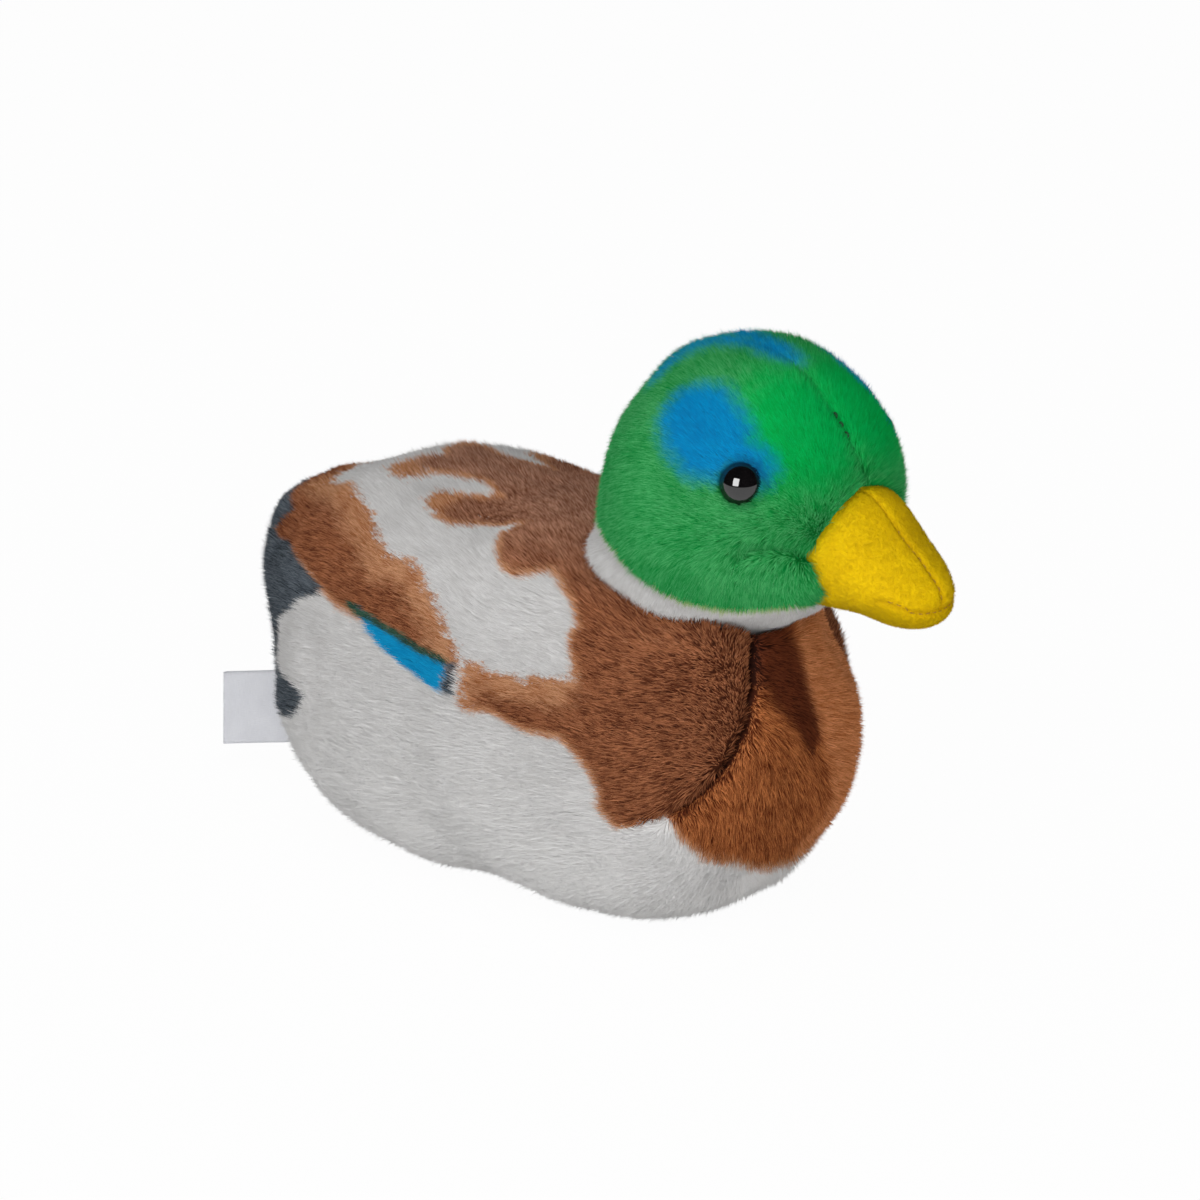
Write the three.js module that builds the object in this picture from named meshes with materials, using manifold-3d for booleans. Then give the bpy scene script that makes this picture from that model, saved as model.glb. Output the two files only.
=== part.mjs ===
// A stuffed toy duck that sits on a flat foot, built from the panels, stuffing and eyes it is sewn from.
// Millimetres. It faces +X, its left side is +Y, up is +Z, and the origin lies on the ground under its flat foot.
import * as THREE from 'three';
import { mergeVertices } from 'three/addons/utils/BufferGeometryUtils.js';
import Module from 'manifold-3d';

const wasm = await Module();
wasm.setup();

// Driving dimensions: the stuffed body
const BODY_LENGTH = 131.4;
const BODY_WIDTH = 74;
const BODY_HEIGHT = 79.5;
const FOOT_CUT = 0.5;

// Driving dimensions: the head ball, whose centre is given from the origin
const HEAD_RADIUS = 29;
const HEAD_FORWARD = 47.3;
const HEAD_UP = 87.6;
const CROWN_RISE = 1.3;

// Driving dimensions: the bill
const BILL_REACH = 46.6;
const BILL_DROP = 14.8;
const BILL_DEPTH = 26;
const BILL_WIDTH = 28.5;
const BILL_SEAM_DROP = 16.5;

// Fabric, felt and the room between sewn pieces
const BODY_PILE = 3;
const HEAD_PILE = 3;
const FELT = 1.2;
const SEAM_GAP = 0.3;
const SOCKET_GAP = 0.4;
const OVERRUN = 10;

// Safety eyes, with the direction from the head's centre in which the left one looks
const EYE_RADIUS = 4;
const EYE_HEIGHT = 3.2;
const EYE_SINK = 1.4;
const SHANK_RADIUS = 1.3;
const SHANK_PAST_WASHER = 3.5;
const WASHER_RADIUS = 5.5;
const WASHER_THICKNESS = 1.2;
const EYE_AZIMUTH = THREE.MathUtils.degToRad(56);
const EYE_ELEVATION = THREE.MathUtils.degToRad(17.5);

// The wad of stuffing in the neck and how far the head may swing on it
const NECK_BALL_RADIUS = 11;
const NECK_STEM_RADIUS = 4;
const NECK_PLUG_RADIUS = 7.5;
const NECK_PLUG_DEPTH = 12;
const NECK_PLUG_BEVEL = 1.5;
const HEAD_SWING = THREE.MathUtils.degToRad(12);

// The care label: a ribbon folded double, sewn into the rear seam
const LABEL_LENGTH = 34.5;
const LABEL_HEIGHT = 15;
const LABEL_PLY = 0.4;
const LABEL_FOLD_ROOM = 0.5;
const LABEL_DEPTH = 1.6;
const LABEL_ROOT_UP = 19;
const LABEL_DROOP = THREE.MathUtils.degToRad(13.5);
const LABEL_SWING = THREE.MathUtils.degToRad(60);
const NOTCH_SPARE_ANGLE = THREE.MathUtils.degToRad(12);

// How finely the round forms are divided
const BODY_SIDES = 28;
const BODY_STEPS = 2;
const INNER_SIDES = 16;
const HEAD_SIDES = 24;
const BILL_SIDES = 14;
const BILL_STEPS = 2;
const SMALL_SIDES = 16;
const SEAM_STEPS = 20;

// The body's sections from tail to chest: place along the length from the origin, top and bottom against the height,
// and half width against the width, all as shares. The tail end is blunt and high, the chest round and low.
const BODY_SECTION_SHARES = [
  { along: -0.5175, top: 0.731, bottom: 0.731, half: 0 },
  { along: -0.51, top: 0.794, bottom: 0.65, half: 0.101 },
  { along: -0.4833, top: 0.844, bottom: 0.431, half: 0.2135 },
  { along: -0.43, top: 0.894, bottom: 0.169, half: 0.3243 },
  { along: -0.3425, top: 0.946, bottom: 0.0563, half: 0.412 },
  { along: -0.2283, top: 0.984, bottom: 0.0025, half: 0.473 },
  { along: -0.0761, top: 1, bottom: 0, half: 0.493 },
  { along: 0.0761, top: 1, bottom: 0, half: 0.5 },
  { along: 0.2055, top: 0.985, bottom: 0, half: 0.4865 },
  { along: 0.3044, top: 0.949, bottom: 0.0212, half: 0.4486 },
  { along: 0.3843, top: 0.877, bottom: 0.0875, half: 0.379 },
  { along: 0.4414, top: 0.754, bottom: 0.194, half: 0.273 },
  { along: 0.4718, top: 0.625, bottom: 0.306, half: 0.163 },
  { along: 0.4825, top: 0.476, bottom: 0.476, half: 0 },
];
const WAIST_SHARE = 0.47;
const BACK_ROUNDNESS = 2.45;
const BELLY_ROUNDNESS = 2.7;

// The bill's sections from inside the head to the tip: place along the reach from the head's centre, top and bottom
// against the depth measured from the bill's own middle, and half width against the width, all as shares.
const BILL_SECTION_SHARES = [
  { along: 0.4, top: 0, bottom: 0, half: 0 },
  { along: 0.41, top: 0.44, bottom: -0.4, half: 0.4 },
  { along: 0.54, top: 0.52, bottom: -0.47, half: 0.49 },
  { along: 0.665, top: 0.45, bottom: -0.48, half: 0.46 },
  { along: 0.79, top: 0.26, bottom: -0.49, half: 0.405 },
  { along: 0.88, top: 0.11, bottom: -0.48, half: 0.35 },
  { along: 0.945, top: -0.03, bottom: -0.45, half: 0.275 },
  { along: 0.987, top: -0.14, bottom: -0.385, half: 0.165 },
  { along: 1, top: -0.265, bottom: -0.265, half: 0 },
];
const BILL_WAIST_SHARE = 0.5;
const BILL_ROUNDNESS = 2;

// The seam between the side panels and the chest and belly gusset, seen from the side, from above the neck down the
// chest and back under the belly, as shares of the body's length from the origin and of its height.
const GUSSET_SEAM_SHARES = [
  { along: 0.38, up: 1.2 },
  { along: 0.405, up: 0.88 },
  { along: 0.4186, up: 0.806 },
  { along: 0.4353, up: 0.737 },
  { along: 0.4467, up: 0.66 },
  { along: 0.4467, up: 0.567 },
  { along: 0.4307, up: 0.47 },
  { along: 0.404, up: 0.395 },
  { along: 0.3775, up: 0.358 },
  { along: 0.304, up: 0.289 },
  { along: 0.19, up: 0.226 },
  { along: 0, up: 0.176 },
  { along: -0.228, up: 0.151 },
  { along: -0.365, up: 0.12 },
  { along: -0.6, up: 0.075 },
];

const Y_AXIS = new THREE.Vector3(0, 1, 0);
const Z_AXIS = new THREE.Vector3(0, 0, 1);
const HEAD_CENTRE = new THREE.Vector3(HEAD_FORWARD, 0, HEAD_UP);

// Turns a closed three.js geometry into a solid that can be joined and cut.
function solidOf(geometry, matrix = null) {
  const shape = geometry.clone();
  shape.deleteAttribute('normal');
  shape.deleteAttribute('uv');
  if (matrix) shape.applyMatrix4(matrix);
  const merged = mergeVertices(shape);
  return new wasm.Manifold(new wasm.Mesh({
    numProp: 3,
    vertProperties: new Float32Array(merged.attributes.position.array),
    triVerts: new Uint32Array(merged.index.array),
  }));
}

// Turns a solid back into a geometry.
function geometryOf(solid) {
  const mesh = solid.getMesh();
  const geometry = new THREE.BufferGeometry();
  geometry.setAttribute('position', new THREE.BufferAttribute(new Float32Array(mesh.vertProperties), 3));
  geometry.setIndex(new THREE.BufferAttribute(new Uint32Array(mesh.triVerts), 1));
  geometry.computeVertexNormals();
  return geometry;
}

// A named mesh with a material of its own, in one of the looks.
function piece(name, geometry, { color, roughness }) {
  const mesh = new THREE.Mesh(geometry, new THREE.MeshStandardMaterial({ color, roughness, metalness: 0 }));
  mesh.name = name;
  return mesh;
}

// A value that runs smoothly through four neighbours, at a share of the way from the second to the third.
function smoothBetween(before, from, to, after, share) {
  const slopeIn = (to - before) / 2;
  const slopeOut = (after - from) / 2;
  const square = share * share;
  const cube = square * share;
  return (2 * cube - 3 * square + 1) * from + (cube - 2 * square + share) * slopeIn
    + (3 * square - 2 * cube) * to + (cube - square) * slopeOut;
}

// Divides each stretch between two sections into steps, with the first and last section kept as poles.
function smoothSections(sections, steps) {
  const fine = [];
  for (let i = 0; i < sections.length - 1; i += 1) {
    const four = [sections[Math.max(i - 1, 0)], sections[i], sections[i + 1],
      sections[Math.min(i + 2, sections.length - 1)]];
    for (let step = 0; step < steps; step += 1) {
      const share = step / steps;
      const at = (key) => smoothBetween(four[0][key], four[1][key], four[2][key], four[3][key], share);
      fine.push({ along: at('along'), top: at('top'), bottom: at('bottom'), half: at('half') });
    }
  }
  fine.push(sections[sections.length - 1]);
  return fine;
}

// A closed form through rounded sections that stand across X. Its first and last section are single points.
function loftGeometry(sections, sides, waist, roundTop, roundBottom) {
  const positions = [];
  const index = [];
  const last = sections.length - 1;
  const rounded = (value, roundness) => Math.sign(value) * Math.abs(value) ** (2 / roundness);
  positions.push(sections[0].along, 0, sections[0].top);
  for (let i = 1; i < last; i += 1) {
    const { along, top, bottom, half } = sections[i];
    const middle = bottom + waist * (top - bottom);
    for (let side = 0; side < sides; side += 1) {
      const angle = (2 * Math.PI * side) / sides;
      const upper = Math.sin(angle) > 0;
      const roundness = upper ? roundTop : roundBottom;
      const reach = upper ? top - middle : middle - bottom;
      positions.push(along, half * rounded(Math.cos(angle), roundness),
        middle + reach * rounded(Math.sin(angle), roundness));
    }
  }
  positions.push(sections[last].along, 0, sections[last].top);
  const end = positions.length / 3 - 1;
  const at = (ring, side) => 1 + (ring - 1) * sides + (side % sides);
  for (let side = 0; side < sides; side += 1) {
    index.push(0, at(1, side + 1), at(1, side));
    index.push(end, at(last - 1, side), at(last - 1, side + 1));
    for (let ring = 1; ring < last - 1; ring += 1) {
      index.push(at(ring, side), at(ring, side + 1), at(ring + 1, side + 1));
      index.push(at(ring, side), at(ring + 1, side + 1), at(ring + 1, side));
    }
  }
  const geometry = new THREE.BufferGeometry();
  geometry.setAttribute('position', new THREE.Float32BufferAttribute(positions, 3));
  geometry.setIndex(index);
  return geometry;
}

// The body's sections in millimetres, drawn in from the outside by a depth of fabric.
function bodySections(depth) {
  const [tail, chest] = [BODY_SECTION_SHARES[0], BODY_SECTION_SHARES[BODY_SECTION_SHARES.length - 1]];
  const middle = ((tail.along + chest.along) / 2) * BODY_LENGTH;
  const shrink = 1 - (2 * depth) / BODY_LENGTH;
  const height = BODY_HEIGHT + FOOT_CUT;
  return BODY_SECTION_SHARES.map(({ along, top, bottom, half }) => {
    const pole = half === 0;
    return {
      along: middle + (along * BODY_LENGTH - middle) * shrink,
      top: top * height - FOOT_CUT - (pole ? 0 : depth),
      bottom: bottom * height - FOOT_CUT + (pole ? 0 : depth),
      half: pole ? 0 : half * BODY_WIDTH - depth,
    };
  });
}

function bodyForm(depth, sides) {
  const sections = smoothSections(bodySections(depth), BODY_STEPS);
  return solidOf(loftGeometry(sections, sides, WAIST_SHARE, BACK_ROUNDNESS, BELLY_ROUNDNESS));
}

// The bill's sections in millimetres from the head's centre, drawn in by a depth of felt.
function billSections(depth) {
  const shrink = 1 - depth / BILL_REACH;
  return BILL_SECTION_SHARES.map(({ along, top, bottom, half }) => {
    const pole = half === 0;
    return {
      along: along * BILL_REACH * shrink,
      top: top * BILL_DEPTH - BILL_DROP / 2 - (pole ? 0 : depth),
      bottom: bottom * BILL_DEPTH - BILL_DROP / 2 + (pole ? 0 : depth),
      half: pole ? 0 : half * BILL_WIDTH - depth,
    };
  });
}

function billForm(depth, sides) {
  const sections = smoothSections(billSections(depth), BILL_STEPS);
  return solidOf(loftGeometry(sections, sides, BILL_WAIST_SHARE, BILL_ROUNDNESS, BILL_ROUNDNESS));
}

// A ball about a centre, whose upper half is stretched by a rise.
function ballGeometry(radius, sides, rise = 0) {
  const geometry = new THREE.SphereGeometry(radius, sides, sides / 2);
  geometry.rotateX(Math.PI / 2);
  const position = geometry.attributes.position;
  const stretch = (radius + rise) / radius;
  for (let i = 0; i < position.count; i += 1) {
    if (position.getZ(i) > 0) position.setZ(i, position.getZ(i) * stretch);
  }
  return geometry;
}

// The radius for a faceted ball whose faces all keep outside a true radius.
function outsideRadius(radius, sides) {
  return radius / Math.cos(Math.PI / sides) ** 2;
}

// A turned solid about Z from pairs of radius and height, listed upwards.
function turned(profile, sides = SMALL_SIDES) {
  const points = profile.map(([radius, up]) => new THREE.Vector2(radius, up));
  const geometry = new THREE.LatheGeometry(points, sides);
  geometry.rotateX(Math.PI / 2);
  return geometry;
}

// A block that holds everything on one side of a plane across Y or Z, used to part the panels.
function blockFrom(low, high) {
  const size = high.clone().sub(low);
  const middle = high.clone().add(low).multiplyScalar(1 / 2);
  const geometry = new THREE.BoxGeometry(size.x, size.y, size.z);
  return solidOf(geometry, new THREE.Matrix4().makeTranslation(middle));
}

// Half of the space, on the left for side 1 and on the right for side -1, clear of the middle seam.
function sideBlock(side) {
  const reach = BODY_LENGTH + HEAD_FORWARD;
  const near = SEAM_GAP / 2;
  const low = new THREE.Vector3(-reach, side > 0 ? near : -reach, -reach);
  const high = new THREE.Vector3(reach, side > 0 ? reach : -near, reach);
  return blockFrom(low, high);
}

// The seam of the gusset as a smooth line in the XZ plane, moved sideways by a distance.
function gussetSeam(shift) {
  const knots = GUSSET_SEAM_SHARES.map(({ along, up }) => (
    new THREE.Vector3(along * BODY_LENGTH, up * BODY_HEIGHT, 0)));
  const curve = new THREE.CatmullRomCurve3(knots);
  const line = [];
  for (let step = 0; step <= SEAM_STEPS; step += 1) {
    const share = step / SEAM_STEPS;
    const tangent = curve.getTangent(share);
    const point = curve.getPoint(share);
    line.push(new THREE.Vector2(point.x - shift * tangent.y, point.y + shift * tangent.x));
  }
  return line;
}

// Everything in front of and below the gusset's seam. A positive shift grows it towards the back and the top.
function gussetBlock(shift) {
  const outline = new THREE.Shape(gussetSeam(-shift));
  const far = BODY_LENGTH;
  outline.lineTo(-far, -far);
  outline.lineTo(far, -far);
  outline.lineTo(far, far);
  const geometry = new THREE.ExtrudeGeometry(outline, { depth: 2 * BODY_WIDTH, bevelEnabled: false });
  geometry.translate(0, 0, -BODY_WIDTH);
  geometry.rotateX(Math.PI / 2);
  return solidOf(geometry);
}

// Where the middle of the rear end lies at a height, read from the body's sections.
function rearAt(up) {
  const sections = smoothSections(bodySections(0), BODY_STEPS);
  for (let i = 1; i < sections.length; i += 1) {
    if (sections[i].bottom <= up) {
      const [low, high] = [sections[i], sections[i - 1]];
      const share = (up - low.bottom) / (high.bottom - low.bottom);
      return low.along + share * (high.along - low.along);
    }
  }
  return -BODY_LENGTH / 2;
}

// The label's own frame: its root at the origin, its length along X and the hinge line of its root along Z.
const LABEL_PLACE = new THREE.Matrix4().compose(
  new THREE.Vector3(rearAt(LABEL_ROOT_UP) + LABEL_DEPTH, 0, LABEL_ROOT_UP),
  new THREE.Quaternion().setFromAxisAngle(Z_AXIS, Math.PI)
    .multiply(new THREE.Quaternion().setFromAxisAngle(Y_AXIS, LABEL_DROOP)),
  new THREE.Vector3(1, 1, 1),
);
const LABEL_HALF_THICK = LABEL_PLY + LABEL_FOLD_ROOM / 2;

// A wedge round the label's root that gives it room to swing, pointed into the rear seam.
function labelNotch() {
  const apex = -(LABEL_HALF_THICK + SEAM_GAP);
  const reach = LABEL_DEPTH + OVERRUN;
  const spread = reach * Math.tan(LABEL_SWING + NOTCH_SPARE_ANGLE);
  const outline = new THREE.Shape([
    new THREE.Vector2(apex, -LABEL_HALF_THICK - SEAM_GAP),
    new THREE.Vector2(reach, -spread),
    new THREE.Vector2(reach, spread),
    new THREE.Vector2(apex, LABEL_HALF_THICK + SEAM_GAP),
  ]);
  const tall = LABEL_HEIGHT + 2 * SEAM_GAP;
  const geometry = new THREE.ExtrudeGeometry(outline, { depth: tall, bevelEnabled: false });
  geometry.translate(0, 0, -tall / 2);
  return solidOf(geometry, LABEL_PLACE);
}

// The ribbon seen from above: two plies side by side, joined by the round fold at the far end.
function labelGeometry() {
  const outer = LABEL_HALF_THICK;
  const inner = LABEL_FOLD_ROOM / 2;
  const turn = LABEL_LENGTH - outer;
  const outline = new THREE.Shape();
  outline.moveTo(0, -outer);
  outline.lineTo(turn, -outer);
  outline.absarc(turn, 0, outer, -Math.PI / 2, Math.PI / 2, false);
  outline.lineTo(0, outer);
  outline.lineTo(0, inner);
  outline.lineTo(turn, inner);
  outline.absarc(turn, 0, inner, Math.PI / 2, -Math.PI / 2, true);
  outline.lineTo(0, -inner);
  outline.closePath();
  const geometry = new THREE.ExtrudeGeometry(outline, {
    depth: LABEL_HEIGHT, bevelEnabled: false, curveSegments: SMALL_SIDES / 2,
  });
  geometry.translate(0, 0, -LABEL_HEIGHT / 2);
  return geometry;
}

// The neck wad, turned about Z through the head's centre: a ball in the head, a stem, and a plug in the body.
const NECK_SEAT = HEAD_RADIUS + SOCKET_GAP;
function neckProfile(extra) {
  const ball = NECK_BALL_RADIUS + extra;
  const stem = NECK_STEM_RADIUS + extra;
  const plug = NECK_PLUG_RADIUS + extra;
  const foot = -NECK_SEAT - NECK_PLUG_DEPTH - extra;
  const shoulder = -NECK_SEAT - NECK_PLUG_BEVEL + extra;
  const stemTop = Math.asin(stem / ball);
  const profile = [[0, foot], [plug - NECK_PLUG_BEVEL, foot], [plug, foot + NECK_PLUG_BEVEL], [plug, shoulder],
    [stem, shoulder + (plug - stem) / 2]];
  const arcs = SMALL_SIDES / 2;
  for (let i = 0; i < arcs; i += 1) {
    const angle = stemTop + ((Math.PI - stemTop) * i) / arcs;
    profile.push([ball * Math.sin(angle), -ball * Math.cos(angle)]);
  }
  profile.push([0, ball]);
  return profile;
}

// The hollow in the head's stuffing and the neck opening below it, wide enough for the head to swing on the stem.
function neckHollow() {
  const ball = solidOf(ballGeometry(outsideRadius(NECK_BALL_RADIUS + SEAM_GAP, SMALL_SIDES), SMALL_SIDES));
  const top = -NECK_BALL_RADIUS / 2;
  const bottom = -HEAD_RADIUS - OVERRUN;
  const radiusAt = (up) => (NECK_STEM_RADIUS / Math.cos(HEAD_SWING) - up * Math.sin(HEAD_SWING) + SEAM_GAP);
  const cone = solidOf(turned([[0, bottom], [radiusAt(bottom), bottom], [radiusAt(top), top], [0, top]]));
  return ball.add(cone);
}

// The place and turn of an eye in the head's frame: its own Z looks outwards.
function eyeTurn(side) {
  const direction = new THREE.Vector3(
    Math.cos(EYE_AZIMUTH) * Math.cos(EYE_ELEVATION),
    side * Math.sin(EYE_AZIMUTH) * Math.cos(EYE_ELEVATION),
    Math.sin(EYE_ELEVATION),
  );
  return new THREE.Quaternion().setFromUnitVectors(Z_AXIS, direction);
}

function eyeMatrix(side) {
  return new THREE.Matrix4().makeRotationFromQuaternion(eyeTurn(side));
}

const EYE_SEAT = HEAD_RADIUS - EYE_SINK;
const HEAD_INSIDE = HEAD_RADIUS - HEAD_PILE;
const WASHER_FACE = Math.sqrt(HEAD_INSIDE ** 2 - WASHER_RADIUS ** 2) - 2 * SEAM_GAP;
const SHANK_END = WASHER_FACE - WASHER_THICKNESS - SHANK_PAST_WASHER;

// An eye in its own frame, whose origin is the head's centre: the shank's tip lies nearest to it.
function eyeGeometry() {
  const profile = [[0, SHANK_END], [SHANK_RADIUS, SHANK_END], [SHANK_RADIUS, EYE_SEAT], [EYE_RADIUS, EYE_SEAT]];
  const arcs = SMALL_SIDES / 4;
  for (let i = 1; i < arcs; i += 1) {
    const angle = (Math.PI / 2) * (i / arcs);
    profile.push([EYE_RADIUS * Math.cos(angle), EYE_SEAT + EYE_HEIGHT * Math.sin(angle)]);
  }
  profile.push([0, EYE_SEAT + EYE_HEIGHT]);
  return turned(profile);
}

function washerGeometry() {
  const hole = SHANK_RADIUS + SEAM_GAP;
  const low = WASHER_FACE - WASHER_THICKNESS;
  return turned([[hole, low], [WASHER_RADIUS, low], [WASHER_RADIUS, WASHER_FACE], [hole, WASHER_FACE], [hole, low]]);
}

// What an eye takes out of the head panel: a shallow seat in the pile and the hole for its shank.
function eyeCut(side) {
  const seat = EYE_SEAT - SEAM_GAP;
  const wide = EYE_RADIUS + SEAM_GAP;
  const hole = SHANK_RADIUS + SEAM_GAP;
  const outer = HEAD_RADIUS + OVERRUN;
  const profile = [[0, SHANK_END], [hole, SHANK_END], [hole, seat], [wide, seat], [wide, outer], [0, outer]];
  return solidOf(turned(profile), eyeMatrix(side));
}

// What a washer and the shank's tip take out of the head's stuffing.
function washerCut(side) {
  const low = WASHER_FACE - WASHER_THICKNESS - SEAM_GAP;
  const tip = SHANK_END - SEAM_GAP;
  const wide = WASHER_RADIUS + SEAM_GAP;
  const hole = SHANK_RADIUS + SEAM_GAP;
  const profile = [[0, tip], [hole, tip], [hole, low], [wide, low], [wide, HEAD_RADIUS], [0, HEAD_RADIUS]];
  return solidOf(turned(profile), eyeMatrix(side));
}

const looks = {
  back: { color: 0x7d4a32, roughness: 0.95 },
  chest: { color: 0x6e4028, roughness: 0.95 },
  head: { color: 0x28a046, roughness: 0.95 },
  felt: { color: 0xe8c600, roughness: 0.9 },
  fibre: { color: 0xf2f0ea, roughness: 1 },
  eye: { color: 0x0b0b0d, roughness: 0.12 },
  washer: { color: 0xe6e6e2, roughness: 0.5 },
  label: { color: 0xd6d9dc, roughness: 0.55 },
};

const duck = new THREE.Group();

// The body: one shell of pile fabric, parted by the gusset's seam and the middle seam, round its stuffing
function addBody() {
  const toHead = new THREE.Matrix4().makeTranslation(HEAD_CENTRE);
  const socketRadius = outsideRadius(HEAD_RADIUS + SOCKET_GAP, HEAD_SIDES);
  const socket = solidOf(ballGeometry(socketRadius, HEAD_SIDES), toHead);
  const far = BODY_LENGTH;
  const ground = blockFrom(new THREE.Vector3(-far, -far, -far), new THREE.Vector3(far, far, 0));
  const shell = bodyForm(0, BODY_SIDES).subtract(bodyForm(BODY_PILE, INNER_SIDES)).subtract(socket).subtract(ground);
  const notch = labelNotch();
  const gusset = shell.intersect(gussetBlock(-SEAM_GAP / 2)).subtract(notch);
  const sides = shell.subtract(gussetBlock(SEAM_GAP / 2)).subtract(notch);
  duck.add(piece('body_side_left', geometryOf(sides.intersect(sideBlock(1))), looks.back));
  duck.add(piece('body_side_right', geometryOf(sides.intersect(sideBlock(-1))), looks.back));
  duck.add(piece('chest_belly_gusset', geometryOf(gusset), looks.chest));

  const plugHole = solidOf(turned(neckProfile(SEAM_GAP)), toHead);
  const filling = bodyForm(BODY_PILE + SEAM_GAP, INNER_SIDES).subtract(socket).subtract(plugHole).subtract(notch);
  duck.add(piece('body_filling', geometryOf(filling), looks.fibre));
}

// The head: two half balls of pile fabric round their stuffing, on the neck wad, with the eyes and their washers
function addHead() {
  const head = new THREE.Group();
  head.position.copy(HEAD_CENTRE);
  duck.add(head);

  const hollow = neckHollow();
  const outer = solidOf(ballGeometry(HEAD_RADIUS, HEAD_SIDES, CROWN_RISE));
  const inner = solidOf(ballGeometry(outsideRadius(HEAD_INSIDE, INNER_SIDES), INNER_SIDES, CROWN_RISE));
  const skin = outer.subtract(inner).subtract(hollow);
  let filling = solidOf(ballGeometry(HEAD_INSIDE - SEAM_GAP, INNER_SIDES, CROWN_RISE)).subtract(hollow);
  for (const [side, word] of [[1, 'left'], [-1, 'right']]) {
    const half = skin.intersect(sideBlock(side)).subtract(eyeCut(side));
    head.add(piece(`head_side_${word}`, geometryOf(half), looks.head));
    filling = filling.subtract(washerCut(side));
    const eye = piece(`eye_${word}`, eyeGeometry(), looks.eye);
    eye.quaternion.copy(eyeTurn(side));
    head.add(eye);
    const washer = piece(`eye_washer_${word}`, washerGeometry(), looks.washer);
    washer.quaternion.copy(eyeTurn(side));
    head.add(washer);
  }
  head.add(piece('head_filling', geometryOf(filling), looks.fibre));
  head.add(piece('neck_filling', turned(neckProfile(0)), looks.fibre));
  addBill(head);
}

// The bill: two upper felt panels and a lower one round their stuffing, seated on the front of the head
function addBill(head) {
  const seat = solidOf(ballGeometry(outsideRadius(HEAD_RADIUS + SEAM_GAP, HEAD_SIDES), HEAD_SIDES, CROWN_RISE));
  const felt = billForm(0, BILL_SIDES).subtract(billForm(FELT, BILL_SIDES)).subtract(seat);
  const far = BILL_REACH + OVERRUN;
  const parting = -BILL_SEAM_DROP;
  const above = blockFrom(new THREE.Vector3(0, -far, parting + SEAM_GAP / 2), new THREE.Vector3(far, far, far));
  const below = blockFrom(new THREE.Vector3(0, -far, -far), new THREE.Vector3(far, far, parting - SEAM_GAP / 2));
  const upper = felt.intersect(above);
  head.add(piece('bill_upper_left', geometryOf(upper.intersect(sideBlock(1))), looks.felt));
  head.add(piece('bill_upper_right', geometryOf(upper.intersect(sideBlock(-1))), looks.felt));
  head.add(piece('bill_lower', geometryOf(felt.intersect(below)), looks.felt));
  head.add(piece('bill_filling', geometryOf(billForm(FELT + SEAM_GAP, BILL_SIDES).subtract(seat)), looks.fibre));
}

function addLabel() {
  const label = piece('care_label', labelGeometry(), looks.label);
  LABEL_PLACE.decompose(label.position, label.quaternion, label.scale);
  duck.add(label);
}

addBody();
addHead();
addLabel();

export default duck;
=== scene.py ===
"""A stuffed toy duck that sits on a flat foot: plush, felt, eyes and label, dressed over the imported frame.

Sizes are in millimetres and angles in degrees until a mesh or lamp is made. The duck faces +X, its left side
is +Y, up is +Z, and the ground lies at zero.
"""

import logging
import math
from collections.abc import Callable, Sequence
from dataclasses import dataclass, field
from enum import Enum

import bmesh
import bpy
import numpy as np
from mathutils import Matrix, Vector
from mathutils.kdtree import KDTree


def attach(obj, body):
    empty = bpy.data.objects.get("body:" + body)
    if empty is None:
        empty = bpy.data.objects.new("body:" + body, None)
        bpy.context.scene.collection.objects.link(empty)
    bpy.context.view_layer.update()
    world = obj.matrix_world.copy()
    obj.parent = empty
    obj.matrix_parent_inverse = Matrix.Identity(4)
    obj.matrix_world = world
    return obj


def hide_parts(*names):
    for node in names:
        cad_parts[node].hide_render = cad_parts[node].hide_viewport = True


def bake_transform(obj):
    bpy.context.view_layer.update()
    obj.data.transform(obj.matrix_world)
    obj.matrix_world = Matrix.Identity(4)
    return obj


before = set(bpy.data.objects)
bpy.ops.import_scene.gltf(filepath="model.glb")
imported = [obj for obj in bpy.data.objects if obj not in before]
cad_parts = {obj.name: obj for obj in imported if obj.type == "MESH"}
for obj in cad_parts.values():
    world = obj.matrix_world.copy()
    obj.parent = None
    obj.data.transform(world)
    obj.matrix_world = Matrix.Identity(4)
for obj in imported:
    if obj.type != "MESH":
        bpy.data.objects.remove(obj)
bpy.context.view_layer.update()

log = logging.getLogger("duck")
Array = np.ndarray
Point = tuple[float, float, float]
Colour = tuple[float, float, float, float]
Push = tuple[Point, float, Point]
Line = tuple[Point, ...]
Span = tuple[float, float]
Table = tuple[Span, ...]
Material = bpy.types.Material

MM = 0.001
AHEAD, LEFTWARD, UP = np.eye(3)
SEED = 7
# How many sections a form is read at, and the least size that is divided by
SECTIONS = 300
TINY = 1e-6

# The frame's own sizes, repeated from the part's source
BODY_LENGTH = 131.4
BODY_WIDTH = 74.0
BODY_HEIGHT = 79.5
FOOT_CUT = 0.5
HEAD_CENTRE = np.array((47.3, 0.0, 87.6))
HEAD_RADIUS = 29.0
CROWN_RISE = 1.3
BILL_REACH = 46.6
BILL_DROP = 14.8
BILL_DEPTH = 26.0
BILL_WIDTH = 28.5

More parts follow.
